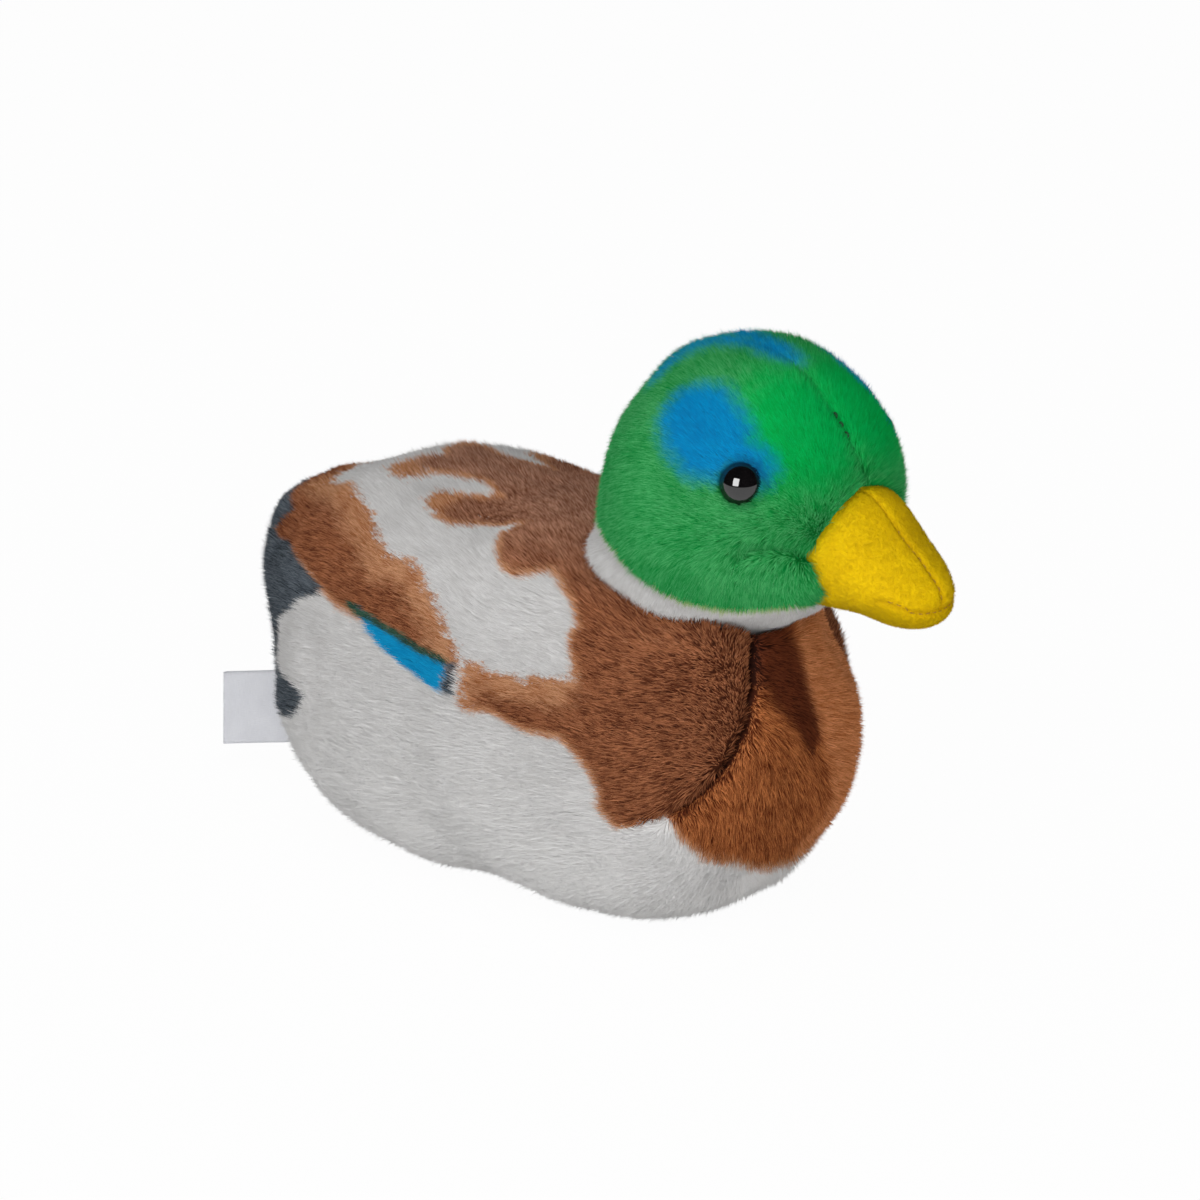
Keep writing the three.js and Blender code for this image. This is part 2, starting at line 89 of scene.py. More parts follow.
# Sections as shares: place along the length, top, bottom and half width
BODY_SECTION_SHARES = (
    (-0.5175, 0.731, 0.731, 0.0), (-0.51, 0.794, 0.65, 0.101), (-0.4833, 0.844, 0.431, 0.2135),
    (-0.43, 0.894, 0.169, 0.3243), (-0.3425, 0.946, 0.0563, 0.412), (-0.2283, 0.984, 0.0025, 0.473),
    (-0.0761, 1.0, 0.0, 0.493), (0.0761, 1.0, 0.0, 0.5), (0.2055, 0.985, 0.0, 0.4865),
    (0.3044, 0.949, 0.0212, 0.4486), (0.3843, 0.877, 0.0875, 0.379), (0.4414, 0.754, 0.194, 0.273),
    (0.4718, 0.625, 0.306, 0.163), (0.4825, 0.476, 0.476, 0.0),
)
BILL_SECTION_SHARES = (
    (0.4, 0.0, 0.0, 0.0), (0.41, 0.44, -0.4, 0.4), (0.54, 0.52, -0.47, 0.49),
    (0.665, 0.45, -0.48, 0.46), (0.79, 0.26, -0.49, 0.405), (0.88, 0.11, -0.48, 0.35),
    (0.945, -0.03, -0.45, 0.275), (0.987, -0.14, -0.385, 0.165), (1.0, -0.265, -0.265, 0.0),
)
# The seam of the chest and belly gusset, seen from the side, as shares of the length and the height
GUSSET_SEAM_SHARES = (
    (0.36, 1.2), (0.39, 0.88), (0.409, 0.795), (0.4275, 0.737), (0.4425, 0.66), (0.4467, 0.567),
    (0.4307, 0.47), (0.404, 0.395), (0.3775, 0.358), (0.304, 0.289), (0.19, 0.226), (0.0, 0.176),
    (-0.228, 0.151), (-0.365, 0.12), (-0.6, 0.075),
)

# The printed colours of the right side panel, outlined on the surface. The left panel mirrors them.
BROWN_BACK = (
    (-35, -11, 78), (-31, -12, 78), (-27, -8, 79), (-22, -6, 80), (-15, -5, 80), (-8, -8, 80),
    (-12, -12, 80), (-16, -14, 79), (-20, -15, 78), (-20, -18, 77), (-16, -20, 76), (-12, -21, 76),
    (-8, -19, 77), (-4, -18, 78), (1, -17, 78), (5, -17, 78), (4, -21, 77), (3, -22, 76), (4, -24, 74),
    (7, -27, 72), (10, -28, 71), (14, -27, 72), (18, -25, 73), (20, -26, 72), (23, -28, 70),
    (26, -29, 68), (30, -31, 64), (29, -32, 62), (31, -34, 56), (32, -35, 53), (28, -36, 52),
    (19, -37, 51), (10, -37, 50), (6, -37, 51), (5, -38, 48), (6, -38, 44), (10, -38, 45),
    (20, -38, 43), (29, -37, 43), (33, -36, 41), (36, -35, 37), (38, -35, 33), (38, -35, 30),
    (40, -34, 26), (45, -32, 26), (48, -30, 27), (53, -26, 28), (61, -10, 30), (63, 8, 40),
    (60, 12, 55), (52, 12, 68), (40, 12, 75), (20, 12, 79), (-10, 10, 80), (-26, 5, 80), (-30, 0, 79.5),
    (-33, -5, 79),
)
# The wing's upper and front edge, where its tufts hang over
WING_EDGE = (
    (-57, -7, 71), (-52, -11, 73), (-45, -15, 74), (-38, -20, 73), (-33, -23, 72), (-28, -27, 69),
    (-22, -30, 67), (-14, -31, 66), (-10, -33, 64), (-6, -34, 61), (-4, -35, 59), (-1, -36, 55),
    (2, -37, 52),
)
WING = (
    *WING_EDGE, (0, -37, 51), (-6, -37, 52), (-15, -36, 54), (-23, -35, 56), (-31, -34, 56),
    (-36, -32.5, 58), (-44, -28, 60), (-52, -24, 61.5), (-62, -16, 61), (-66, 4, 60), (-62, 8, 68),
    (-58, 0, 71),
)
CHARCOAL_RUMP = (
    (-66, 8, 61), (-62, -17, 61.5), (-52.7, -21.9, 61.6), (-44.4, -26.9, 60), (-36, -31, 57.5),
    (-37.5, -31, 55.8), (-41.8, -30.1, 53.8), (-45.8, -29.2, 50.8), (-49.5, -28, 48.5),
    (-53, -25.5, 45.2), (-55, -24, 40), (-54, -24, 37), (-47, -29.6, 35.5), (-40, -32.5, 34.8),
    (-42.2, -31.5, 31.4), (-46, -29.5, 28), (-54, -20, 26), (-58, -12, 26), (-60, 6, 27),
)
SPECULUM = (
    (-25, -34, 57), (-15, -36, 54), (-6, -37, 52), (0, -37, 51), (-1, -38, 45), (-8, -37, 47),
    (-16, -37, 50), (-21, -36, 53),
)
SPECULUM_BAR = (
    (0, -37, 51), (3, -37, 52), (2.2, -38, 45), (-1, -38, 45),
)
SPECULUM_RIM = (
    (-27, -34, 57), (-23, -35, 56), (-15, -36, 54), (-6, -37, 52), (0, -37, 51),
)
# Where the brown fades out through orange tufts
SOFT_EDGES = (
    WING_EDGE,
    ((-20, -18, 77), (-20, -15, 78)),
    ((-35, -11, 78), (-31, -12, 78)),
    ((5, -38, 48), (6, -37, 51), (10, -37, 50), (19, -37, 51), (28, -36, 52)),
)


def srgb(red: int, green: int, blue: int) -> Colour:
    """A display colour from 0 to 255 as the linear colour that a socket takes, with an alpha of 1."""
    def linear(level: int) -> float:
        share = level / 255
        return share / 12.92 if share <= 0.04045 else ((share + 0.055) / 1.055) ** 2.4

    return linear(red), linear(green), linear(blue), 1.0


def grey(level: float) -> Colour:
    """A grey of a linear level."""
    return level, level, level, 1.0


def unit(vectors: Array) -> Array:
    """Vectors drawn out or in to a length of 1."""
    return vectors / np.maximum(np.linalg.norm(vectors, axis=-1, keepdims=True), 1e-9)


def smooth_step(values: Array, low: float, high: float) -> Array:
    """A smooth climb from 0 at low to 1 at high."""
    share = np.clip((values - low) / (high - low), 0, 1)
    return share * share * (3 - 2 * share)


def nearest(points: Array, targets: Array) -> tuple[Array, Array]:
    """The distance of each point from the target nearest to it, and that target's number."""
    tree = KDTree(len(targets))
    for number, target in enumerate(targets):
        tree.insert(target, number)
    tree.balance()
    found = [tree.find(point) for point in points]
    return np.array([hit[2] for hit in found]), np.array([hit[1] for hit in found])


def drawn_out(line: Sequence[Point], step: float = 0.5) -> Array:
    """Points about a step apart along a line through a few points."""
    corners = np.array(line, float)
    pieces = [corners[:1]]
    for start, end in zip(corners[:-1], corners[1:]):
        count = max(1, int(np.linalg.norm(end - start) / step))
        shares = np.arange(1, count + 1)[:, None] / count
        pieces.append(start + (end - start) * shares)
    return np.concatenate(pieces)


def smoothed(line: Array, rounds: int) -> Array:
    """A line whose inner points are drawn towards their neighbours a few times."""
    line = line.copy()
    for _ in range(rounds):
        line[1:-1] = (line[:-2] + 2 * line[1:-1] + line[2:]) / 4
    return line


def mirrored(points: Array) -> Array:
    """Points moved to the other side of the middle plane."""
    return points * (1, -1, 1)


def folded(points: Array, side: "Side") -> Array:
    """Points that are all on one side, those of the other side mirrored onto it."""
    return np.stack([points[:, 0], np.abs(points[:, 1]) * side.value, points[:, 2]], 1)


def bell(away: Array, reach: float, power: int = 2) -> Array:
    """A value that falls from 1 where a distance is zero, to about a third at a reach from there."""
    return np.exp(-(away / reach) ** power)


@dataclass(frozen=True)
class Mark:
    """A soft groove, dip or ruffle: how strong and how wide it is, and how far off a line its middle lies."""

    strength: float
    width: float
    off: float = 0.0
    power: int = 2

    def at(self, away: Array) -> Array:
        """The mark's strength at distances from the line."""
        return self.strength * bell(away - self.off, self.width, self.power)


def from_head(points: Array) -> Array:
    """How far points are from the head's centre."""
    return np.linalg.norm(points - HEAD_CENTRE, axis=1)


def by_table(values: Array, table: Table) -> Array:
    """What a table of two columns says for some values of its first column."""
    first, second = np.array(table, float).T
    return np.interp(values, first, second)


def across(rows: Array, places: Array) -> list[Array]:
    """The top, bottom and half width of rows of sections at places along X, and nothing past their ends."""
    return [np.interp(places, rows[:, 0], rows[:, k], left=0, right=0) for k in (1, 2, 3)]


@dataclass(frozen=True)
class Wave:
    """A smooth unevenness: how strong it is, about how far apart its lumps lie, and its pattern's seed."""

    strength: float
    length: float
    seed: int

    def at(self, points: Array) -> Array:
        """A value about each point, mostly from minus the strength to the strength."""
        rng = np.random.default_rng(self.seed)
        ways = unit(rng.normal(size=(9, 3))) * (2 * math.pi / self.length) * rng.uniform(0.6, 1.5, (9, 1))
        return self.strength * (np.sin(points @ ways.T + rng.uniform(0, 2 * math.pi, 9)).sum(1) / 3)


def shaped(points: Array, moves: Sequence[Push],
           uneven: Sequence[Push] = ()) -> Array:
    """Points after soft pushes.

    Args:
        points: the points.
        moves: pushes that are made alike on both sides. Each has its middle on the left side, how far it
            reaches, and the way it moves the middle.
        uneven: pushes that are made only where they are.

    Returns:
        The moved points.
    """
    def share(places: Array, middle: Point, reach: float) -> Array:
        return np.exp(-((places - middle) ** 2).sum(1) / reach ** 2)[:, None]

    start, left = points, folded(points, Side.LEFT)
    for middle, reach, way in uneven:
        points = points + share(start, middle, reach) * np.array(way)
    signs = np.where(start[:, 1:2] < 0, (1.0, -1.0, 1.0), 1.0)
    for middle, reach, way in moves:
        points = points + share(left, middle, reach) * np.array(way) * signs
    return points


@dataclass
class Surface:
    """Points in millimetres, triangles, and values that belong to the points."""

    points: Array
    faces: Array
    values: dict[str, Array] = field(default_factory=dict)

    def normals(self) -> Array:
        """The outward direction at each point."""
        a, b, c = (self.points[self.faces[:, k]] for k in range(3))
        across = np.cross(b - a, c - a)
        total = np.zeros_like(self.points)
        for k in range(3):
            np.add.at(total, self.faces[:, k], across)
        return unit(total)

    def slopes(self, value: Array) -> Array:
        """How a value changes over a millimetre at each point, as a vector along the surface."""
        a, b, c = (self.points[self.faces[:, k]] for k in range(3))
        across = np.cross(b - a, c - a)
        size = np.maximum((across ** 2).sum(1, keepdims=True), 1e-9)
        at = value[self.faces]
        slope = (np.cross(across, c - b) * at[:, :1] + np.cross(across, a - c) * at[:, 1:2]
                 + np.cross(across, b - a) * at[:, 2:]) / size
        area = np.sqrt(size)
        total, weight = np.zeros_like(self.points), np.zeros((len(self.points), 1))
        for k in range(3):
            np.add.at(total, self.faces[:, k], slope * area)
            np.add.at(weight, self.faces[:, k], area)
        return total / np.maximum(weight, 1e-9)

    def read(self, places: Array, names: Sequence[str]) -> dict[str, Array]:
        """The surface's values beside places near it, as print on a pile follows the fabric under it."""
        number = nearest(places, self.points)[1]
        off = places - self.points[number]
        reach = np.linalg.norm(off, axis=1)
        found = {}
        for name in names:
            change = np.einsum("nk,nk->n", self.slopes(self.values[name])[number], off)
            found[name] = self.values[name][number] + np.clip(change, -reach, reach)
        return found

    def crossings(self, level: Array) -> Array:
        """Points where the edges pass a level of zero."""
        sides = np.concatenate([self.faces[:, [0, 1]], self.faces[:, [1, 2]], self.faces[:, [2, 0]]])
        edges = np.unique(np.sort(sides, axis=1), axis=0)
        edges = edges[(level[edges[:, 0]] > 0) != (level[edges[:, 1]] > 0)]
        start, end = level[edges[:, 0]], level[edges[:, 1]]
        share = (start / (start - end))[:, None]
        return self.points[edges[:, 0]] * (1 - share) + self.points[edges[:, 1]] * share

    def cut(self, level: Array) -> tuple["Surface", "Surface"]:
        """Parts the surface where a level is zero.

        Args:
            level: a value at each point.

        Returns:
            The part where the level is above zero, and the part where it is below.
        """
        level = np.where(np.abs(level) < 1e-5, 1e-5, level)
        up = level[self.faces] > 0
        mixed = up.any(1) & ~up.all(1)
        faces, marks = self.faces[mixed], up[mixed]
        one_up = marks.sum(1) == 1
        lone = np.where(one_up[:, None], marks, ~marks).argmax(1)
        rows = np.arange(len(faces))
        a, b, c = (faces[rows, (lone + k) % 3] for k in range(3))
        pairs = np.sort(np.concatenate([np.stack([a, b], 1), np.stack([a, c], 1)]), axis=1)
        edges, at = np.unique(pairs, axis=0, return_inverse=True)
        share = level[edges[:, 0]] / (level[edges[:, 0]] - level[edges[:, 1]])

        def with_new(values: Array) -> Array:
            weight = share.reshape((-1,) + (1,) * (values.ndim - 1))
            return np.concatenate([values, values[edges[:, 0]] * (1 - weight) + values[edges[:, 1]] * weight])

        ab, ac = np.split(at.ravel() + len(self.points), 2)
        tips = np.stack([a, ab, ac], 1)
        stumps = np.stack([ab, b, c, ab, c, ac], 1)
        points = with_new(self.points)
        values = {name: with_new(value) for name, value in self.values.items()}

        def side(above: bool) -> "Surface":
            whole = self.faces[(up.all(1) if above else ~up.any(1))]
            picked = one_up if above else ~one_up
            kept = np.concatenate([whole, tips[picked], stumps[~picked].reshape(-1, 3)])
            return Surface(points, kept, values).tidy()

        return side(True), side(False)

    def tidy(self) -> "Surface":
        """The surface without the points that no triangle uses."""
        used, faces = np.unique(self.faces, return_inverse=True)
        return Surface(self.points[used], faces.reshape(-1, 3), {n: v[used] for n, v in self.values.items()})

    def drop(self, *names: str) -> None:
        """Forgets values that the piece has no use for."""
        for name in names:
            del self.values[name]

    def scatter(self, count: int, rng: np.random.Generator) -> dict[str, Array]:
        """Picks places evenly over the surface.

        Args:
            count: how many.
            rng: the source of chance.

        Returns:
            Their "point" and "normal" with the surface's own values there.
        """
        a, b, c = (self.points[self.faces[:, k]] for k in range(3))
        area = np.linalg.norm(np.cross(b - a, c - a), axis=1)
        picked = self.faces[rng.choice(len(area), count, p=area / area.sum())]
        first, second = rng.random((2, count))
        over = first + second > 1
        first[over], second[over] = 1 - first[over], 1 - second[over]
        weights = np.stack([1 - first - second, first, second], 1)

        def at(values: Array) -> Array:
            return np.einsum("nk,nk...->n...", weights, values[picked])

        found = {name: at(value) for name, value in self.values.items()}
        found["point"], found["normal"] = at(self.points), unit(at(self.normals()))
        return found


@dataclass(frozen=True)
class Loft:
    """A closed form through rounded sections across X, with rows of place, top, bottom and half width."""

    sections: Array
    waist: float
    round_top: float
    round_bottom: float

    def rows(self, count: int) -> Array:
        """Sections at even steps over the form."""
        knots = np.vstack([self.sections[:1], self.sections, self.sections[-1:]])
        place = np.linspace(0, len(self.sections) - 1, count * 12)
        start = np.minimum(place.astype(int), len(self.sections) - 2)
        share = (place - start)[:, None]
        before, first, second, after = (knots[start + k] for k in range(4))
        square, cube = share ** 2, share ** 3
        fine = ((2 * cube - 3 * square + 1) * first + (cube - 2 * square + share) * (second - before) / 2
                + (3 * square - 2 * cube) * second + (cube - square) * (after - first) / 2)
        steps = np.diff(fine, axis=0)
        length = sum(np.hypot(steps[:, 0], steps[:, k]) for k in (1, 2, 3))
        way = np.concatenate([[0], np.cumsum(length)])
        even = np.linspace(0, way[-1], count)
        return np.stack([np.interp(even, way, fine[:, k]) for k in range(4)], 1)

    def grid(self, rings: int, columns: int) -> Array:
        """Points in rings across X. Column 0 is on top, and the columns go down the left side first.

        Args:
            rings: how many, with a single point repeated at each end.
            columns: points round each ring, an even number.

        Returns:
            The points, by ring and column.
        """
        turn = np.linspace(0, math.pi, columns * 3)
        side, rise = np.sin(turn), np.cos(turn)
        half = columns // 2
        grid = np.empty((rings, columns, 3))
        for number, (along, top, bottom, width) in enumerate(self.rows(rings)):
            middle = bottom + self.waist * (top - bottom)
            power = 2 / np.where(rise > 0, self.round_top, self.round_bottom)
            reach = np.where(rise > 0, top - middle, middle - bottom)
            y = width * side ** power
            z = middle + reach * np.sign(rise) * np.abs(rise) ** power
            way = np.concatenate([[0], np.cumsum(np.hypot(np.diff(y), np.diff(z)))])
            even = np.linspace(0, way[-1], half + 1)
            ring = np.stack([np.full(half + 1, along), np.interp(even, way, y), np.interp(even, way, z)], 1)
            grid[number, :half + 1] = ring
            grid[number, half + 1:] = mirrored(ring[1:half][::-1])
        return grid


def closed(grid: Array, values: dict[str, Array]) -> Surface:
    """The surface of a grid of rings whose first and last ring are single points.

    Args:
        grid: the points, by ring and column.
        values: values by ring and column.

    Returns:
        The surface, faced outwards.
    """
    rings, columns = grid.shape[:2]
    number = np.arange(rings * columns).reshape(rings, columns)
    number[0], number[-1] = number[0, 0], number[-1, 0]
    after = np.roll(number, -1, axis=1)
    a, b, c, d = number[:-1], after[:-1], after[1:], number[1:]
    faces = np.concatenate([np.stack([a, b, c], -1).reshape(-1, 3), np.stack([a, c, d], -1).reshape(-1, 3)])
    distinct = (faces[:, 0] != faces[:, 1]) & (faces[:, 1] != faces[:, 2]) & (faces[:, 2] != faces[:, 0])
    flat = {name: value.reshape((rings * columns,) + value.shape[2:]) for name, value in values.items()}
    surface = Surface(grid.reshape(-1, 3), faces[distinct], flat).tidy()
    outward = np.einsum("nk,nk->n", surface.normals(), surface.points - surface.points.mean(0))
    if outward.sum() < 0:
        surface.faces = surface.faces[:, ::-1].copy()
    return surface


class Print:
    """Finds how far each point of a grid lies inside outlines that are drawn on its right side."""

    def __init__(self, grid: Array) -> None:
        """Keeps the grid of rings and columns, whose column 0 is the middle of the back."""
        self.grid = grid
        self.rings, self.columns = grid.shape[:2]

    def places(self, line: Sequence[Point]) -> Array:
        """The ring and column of each point of a line. Columns over the middle of the back are negative."""
        number = nearest(mirrored(np.array(line, float)), self.grid.reshape(-1, 3))[1]
        ring, column = number // self.columns, number % self.columns
        column = np.where(column > self.columns * 0.75, column - self.columns, column)
        return np.stack([ring, column], 1).astype(float)

    def along(self, corners: Array) -> Array:
        """Points on the surface, close together, on straight lines between places."""
        found = []
        for start, end in zip(corners[:-1], corners[1:]):
            count = int(np.abs(end - start).max()) * 2 + 1
            at = start + (end - start) * (np.arange(count)[:, None] / count)
            low = np.floor(at).astype(int)
            share = at - low
            ring = np.minimum(low[:, 0] + np.array([[0], [1]]), self.rings - 1)
            column = (low[:, 1] + np.array([[0], [1]])) % self.columns
            aside = share[:, 1:]
            near, far = (self.grid[row, column[0]] * (1 - aside) + self.grid[row, column[1]] * aside
                         for row in ring)
            found.append(near * (1 - share[:, :1]) + far * share[:, :1])
        return np.concatenate(found)

    def spread(self, left: Array) -> Array:
        """Values of the left half's columns, mirrored to all columns."""
        return np.concatenate([left, left[:, 1:self.columns // 2][:, ::-1]], axis=1)

    def apart(self, lines: Sequence[Sequence[Point]]) -> Array:
        """How far each point of the grid is from some lines."""
        left = self.grid[:, :self.columns // 2 + 1]
        targets = np.concatenate([self.along(self.places(line)) for line in lines])
        return self.spread(nearest(left.reshape(-1, 3), targets)[0].reshape(left.shape[:2]))

    def inside(self, outline: Sequence[Point]) -> Array:
        """How deep each point of the grid lies inside an outline. It is negative outside."""
        ring, column = np.meshgrid(np.arange(self.rings), np.arange(self.columns // 2 + 1), indexing="ij")
        corners = self.places(outline)
        corners = np.vstack([corners, corners[:1]])
        odd = np.zeros(ring.shape, bool)
        for (ring_a, column_a), (ring_b, column_b) in zip(corners[:-1], corners[1:]):
            if column_a == column_b:
                continue
            spans = (column_a > column) != (column_b > column)
            meets = ring_a + (column - column_a) / (column_b - column_a) * (ring_b - ring_a)
            odd ^= spans & (ring < meets)
        left = self.grid[:, :self.columns // 2 + 1]
        distance = nearest(left.reshape(-1, 3), self.along(corners))[0].reshape(left.shape[:2])
        return self.spread(np.where(odd, distance, -distance))


Value = "Socket | float | tuple[float, ...]"

# A noise node's output lies mostly within a third of its middle
NOISE_GAIN = 3.2


@dataclass(frozen=True)
class Socket:
    """An output of a shader node. Sums on it add Math nodes."""

    shader: "Shader"
    out: bpy.types.NodeSocket

    def math(self, operation: str, *values: Value) -> "Socket":
        """One Math node over some values."""
        return self.shader.node("ShaderNodeMath", {"operation": operation}, dict(enumerate(values)))

    def __add__(self, other: Value) -> "Socket":
        """The sum."""
        return self.math("ADD", self, other)

    def __radd__(self, other: Value) -> "Socket":
        """The sum, with the value first."""
        return self.math("ADD", other, self)

    def __sub__(self, other: Value) -> "Socket":
        """The difference."""
        return self.math("SUBTRACT", self, other)

    def __rsub__(self, other: Value) -> "Socket":
        """The difference, with the value first."""
        return self.math("SUBTRACT", other, self)

    def __mul__(self, other: Value) -> "Socket":
        """The product."""
        return self.math("MULTIPLY", self, other)

    def __rmul__(self, other: Value) -> "Socket":
        """The product, with the value first."""
        return self.math("MULTIPLY", other, self)

    def climb(self, low: float, high: float) -> "Socket":
        """A smooth climb from 0 at low to 1 at high."""
        return self.shader.node("ShaderNodeMapRange", {"interpolation_type": "SMOOTHSTEP"},
                                {"Value": self, "From Min": low, "From Max": high})

    def part(self, axis: str) -> "Socket":
        """One of a vector's X, Y and Z."""
        return self.shader.node("ShaderNodeSeparateXYZ", {}, {"Vector": self}, axis)


class Shader:
    """A material whose nodes are added by name."""

    def __init__(self, name: str) -> None:
        """Makes an empty material."""
        self.material = bpy.data.materials.new(name)
        self.material.use_nodes = True
        self.tree = self.material.node_tree
        self.tree.nodes.clear()

    def node(self, kind: str, settings: dict, inputs: dict, output: str | int = 0) -> Socket:
        """Adds a node.

        Args:
            kind: the node's type.
            settings: its own settings, which are set first.
            inputs: values or links, by a socket's name, identifier or number.
            output: the output that is wanted, by name or number.

        Returns:
            That output.
        """
        node = self.tree.nodes.new(kind)
        for name, value in settings.items():
            setattr(node, name, value)
        known = {socket.identifier: socket for socket in node.inputs}
        for name, value in inputs.items():
            socket = known.get(name) or node.inputs[name]
            if isinstance(value, Socket):
                self.tree.links.new(value.out, socket)
            else:
                socket.default_value = value
        return Socket(self, node.outputs[output])

    def value(self, name: str) -> Socket:
        """A value that the mesh holds at its points."""
        return self.node("ShaderNodeAttribute", {"attribute_name": name}, {}, "Fac")

    def place(self, name: str | None = None) -> Socket:
        """The place in millimetres, or one that the mesh holds at its points by a name."""
        if name:
            return self.node("ShaderNodeAttribute", {"attribute_name": name}, {}, "Vector")
        at = self.node("ShaderNodeTexCoord", {}, {}, "Object")
        return self.node("ShaderNodeVectorMath", {"operation": "SCALE"}, {"Vector": at, "Scale": 1 / MM})

    def mix(self, factor: Value, first: Value, second: Value) -> Socket:
        """A colour between two, by a factor."""
        return self.node("ShaderNodeMix", {"data_type": "RGBA"},
                         {"Factor_Float": factor, "A_Color": first, "B_Color": second}, 2)

    def noise(self, at: Socket, scale: float, detail: float = 2.0, stretch: Point | None = None) -> Socket:
        """An even noise about zero, from about -1 to 1.

        Args:
            at: the place.
            scale: how many waves go into a millimetre.
            detail: how many finer waves are added.
            stretch: how much finer it is along each axis.

        Returns:
            The noise.
        """
        if stretch:
            at = self.node("ShaderNodeVectorMath", {"operation": "MULTIPLY"}, {0: at, 1: stretch})
        wave = self.node("ShaderNodeTexNoise", {}, {"Vector": at, "Scale": scale, "Detail": detail})
        return (wave - 0.5) * NOISE_GAIN

    def finish(self, base: Value, roughness: Value, **constants: float) -> Material:
        """Ends the material in a Principled surface.

        Args:
            base: the base colour.
            roughness: the roughness.
            constants: other sockets by name, with _ for a space. A "normal" is linked to Normal.

        Returns:
            The material.
        """
        inputs = {"Base Color": base, "Roughness": roughness}
        for name, value in constants.items():
            inputs[name.replace("_", " ").title().replace("Ior", "IOR")] = value
        surface = self.node("ShaderNodeBsdfPrincipled", {}, inputs)
        self.node_out(surface)
        return self.material

    def node_out(self, surface: Socket) -> None:
        """Links a surface to the material's output."""
        out = self.tree.nodes.new("ShaderNodeOutputMaterial")
        self.tree.links.new(surface.out, out.inputs["Surface"])

    def bump(self, height: Socket, strength: float, distance: float) -> Socket:
        """A bumped normal, with the distance in millimetres."""
        inputs = {"Strength": strength, "Distance": distance * MM, "Height": height}
        return self.node("ShaderNodeBump", {}, inputs, "Normal")


def new_object(name: str, mesh: bpy.types.Mesh, material: Material,
               body: str | None) -> bpy.types.Object:
    """Adds an object to the scene.

    Args:
        name: the piece's name.
        mesh: its mesh.
        material: its material.
        body: the frame's body that it rides on, if any.

    Returns:
        The object.
    """
    mesh.materials.append(material)
    piece = bpy.data.objects.new(name, mesh)
    bpy.context.scene.collection.objects.link(piece)
    if body:
        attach(piece, body)
    log.info("%s: %d faces", name, len(mesh.polygons))
    return piece


def new_mesh(name: str, points: Array, faces: Array | Sequence[Sequence[int]],
             values: dict[str, Array] | None = None) -> bpy.types.Mesh:
    """A smooth mesh from points in millimetres, with values at its points.

    Args:
        name: the mesh's name.
        points: the points.
        faces: the corners of each face.
        values: numbers or vectors at the points.

    Returns:
        The mesh.
    """
    mesh = bpy.data.meshes.new(name)
    if isinstance(faces, np.ndarray):
        mesh.vertices.add(len(points))
        mesh.vertices.foreach_set("co", (points * MM).astype(np.float32).ravel())
        mesh.loops.add(faces.size)
        mesh.loops.foreach_set("vertex_index", faces.astype(np.int32).ravel())
        mesh.polygons.add(len(faces))
        mesh.polygons.foreach_set("loop_start", np.arange(0, faces.size, faces.shape[1], dtype=np.int32))
        mesh.update(calc_edges=True)
    else:
        mesh.from_pydata((points * MM).tolist(), [], faces)
    mesh.shade_smooth()
    for key, value in (values or {}).items():
        wide = value.ndim > 1
        layer = mesh.attributes.new(key, "FLOAT_VECTOR" if wide else "FLOAT", "POINT")
        layer.data.foreach_set("vector" if wide else "value", value.astype(np.float32).ravel())
    return mesh


def settled(piece: bpy.types.Object) -> None:
    """Puts what the piece's modifiers make into its mesh."""
    graph = bpy.context.evaluated_depsgraph_get()
    whole = piece.evaluated_get(graph)
    made = bpy.data.meshes.new_from_object(whole, preserve_all_data_layers=True, depsgraph=graph)
    piece.modifiers.clear()
    piece.data = made


@dataclass(frozen=True)
class Nap:
    """How a fabric's pile stands: lengths in millimetres, angles in degrees.

    A hair leans the way it is combed, strays from it, and is drawn to the leader of its clump. Where the pile
    is calm, it lies lower, strays less and is drawn less.
    """

    count: int
    length: float = 3.9
    lengths: Span = (0.75, 1.15)
    bald: float = 0.15
    width: float = 0.3
    lift: float = 44.0
    lift_spread: float = 9.0
    lifts: Span = (14.0, 88.0)
    upright: float = 80.0
    calmed: float = 14.0
    stray: float = 16.0
    calm_stray: float = 0.4
    clump: int = 9
    leader_reach: float = 0.25
    pull: float = 0.3
    pulls: Span = (0.3, 1.0)
    calm_pull: float = 0.75
    soft: float = 0.75
    calm_soft: float = 0.92
    tuft: float = 0.35
    twist: float = 0.2
    own_tone: float = 0.75
    ground: float = 0.05


# A blade's corners are three at its root and one at its tip. These are its faces, and the corners' places in
# the blade's own square of the OFBake layer.
BLADE_FACES = np.array(((0, 1, 3), (1, 2, 3), (2, 0, 3)))
BLADE_SPOTS = np.array(((0.05, 0.05), (0.5, 0.05), (0.95, 0.05), (0.5, 0.95)))

Comb = Callable[[Array, Array], Array]
Keep = Callable[[Array], Array]


def laid_out(mesh: bpy.types.Mesh, faces: Array, count: int) -> None:
    """Gives each of a pile's blades a square of its own on the OFBake layer."""
    cells = math.ceil(math.sqrt(count))
    corner = np.stack([np.arange(count) % cells, np.arange(count) // cells], 1)[:, None]
    spots = ((corner + BLADE_SPOTS) / cells).reshape(-1, 2)
    layer = mesh.uv_layers.new(name="OFBake")
    layer.uv.foreach_set("vector", spots[faces.ravel()].astype(np.float32).ravel())


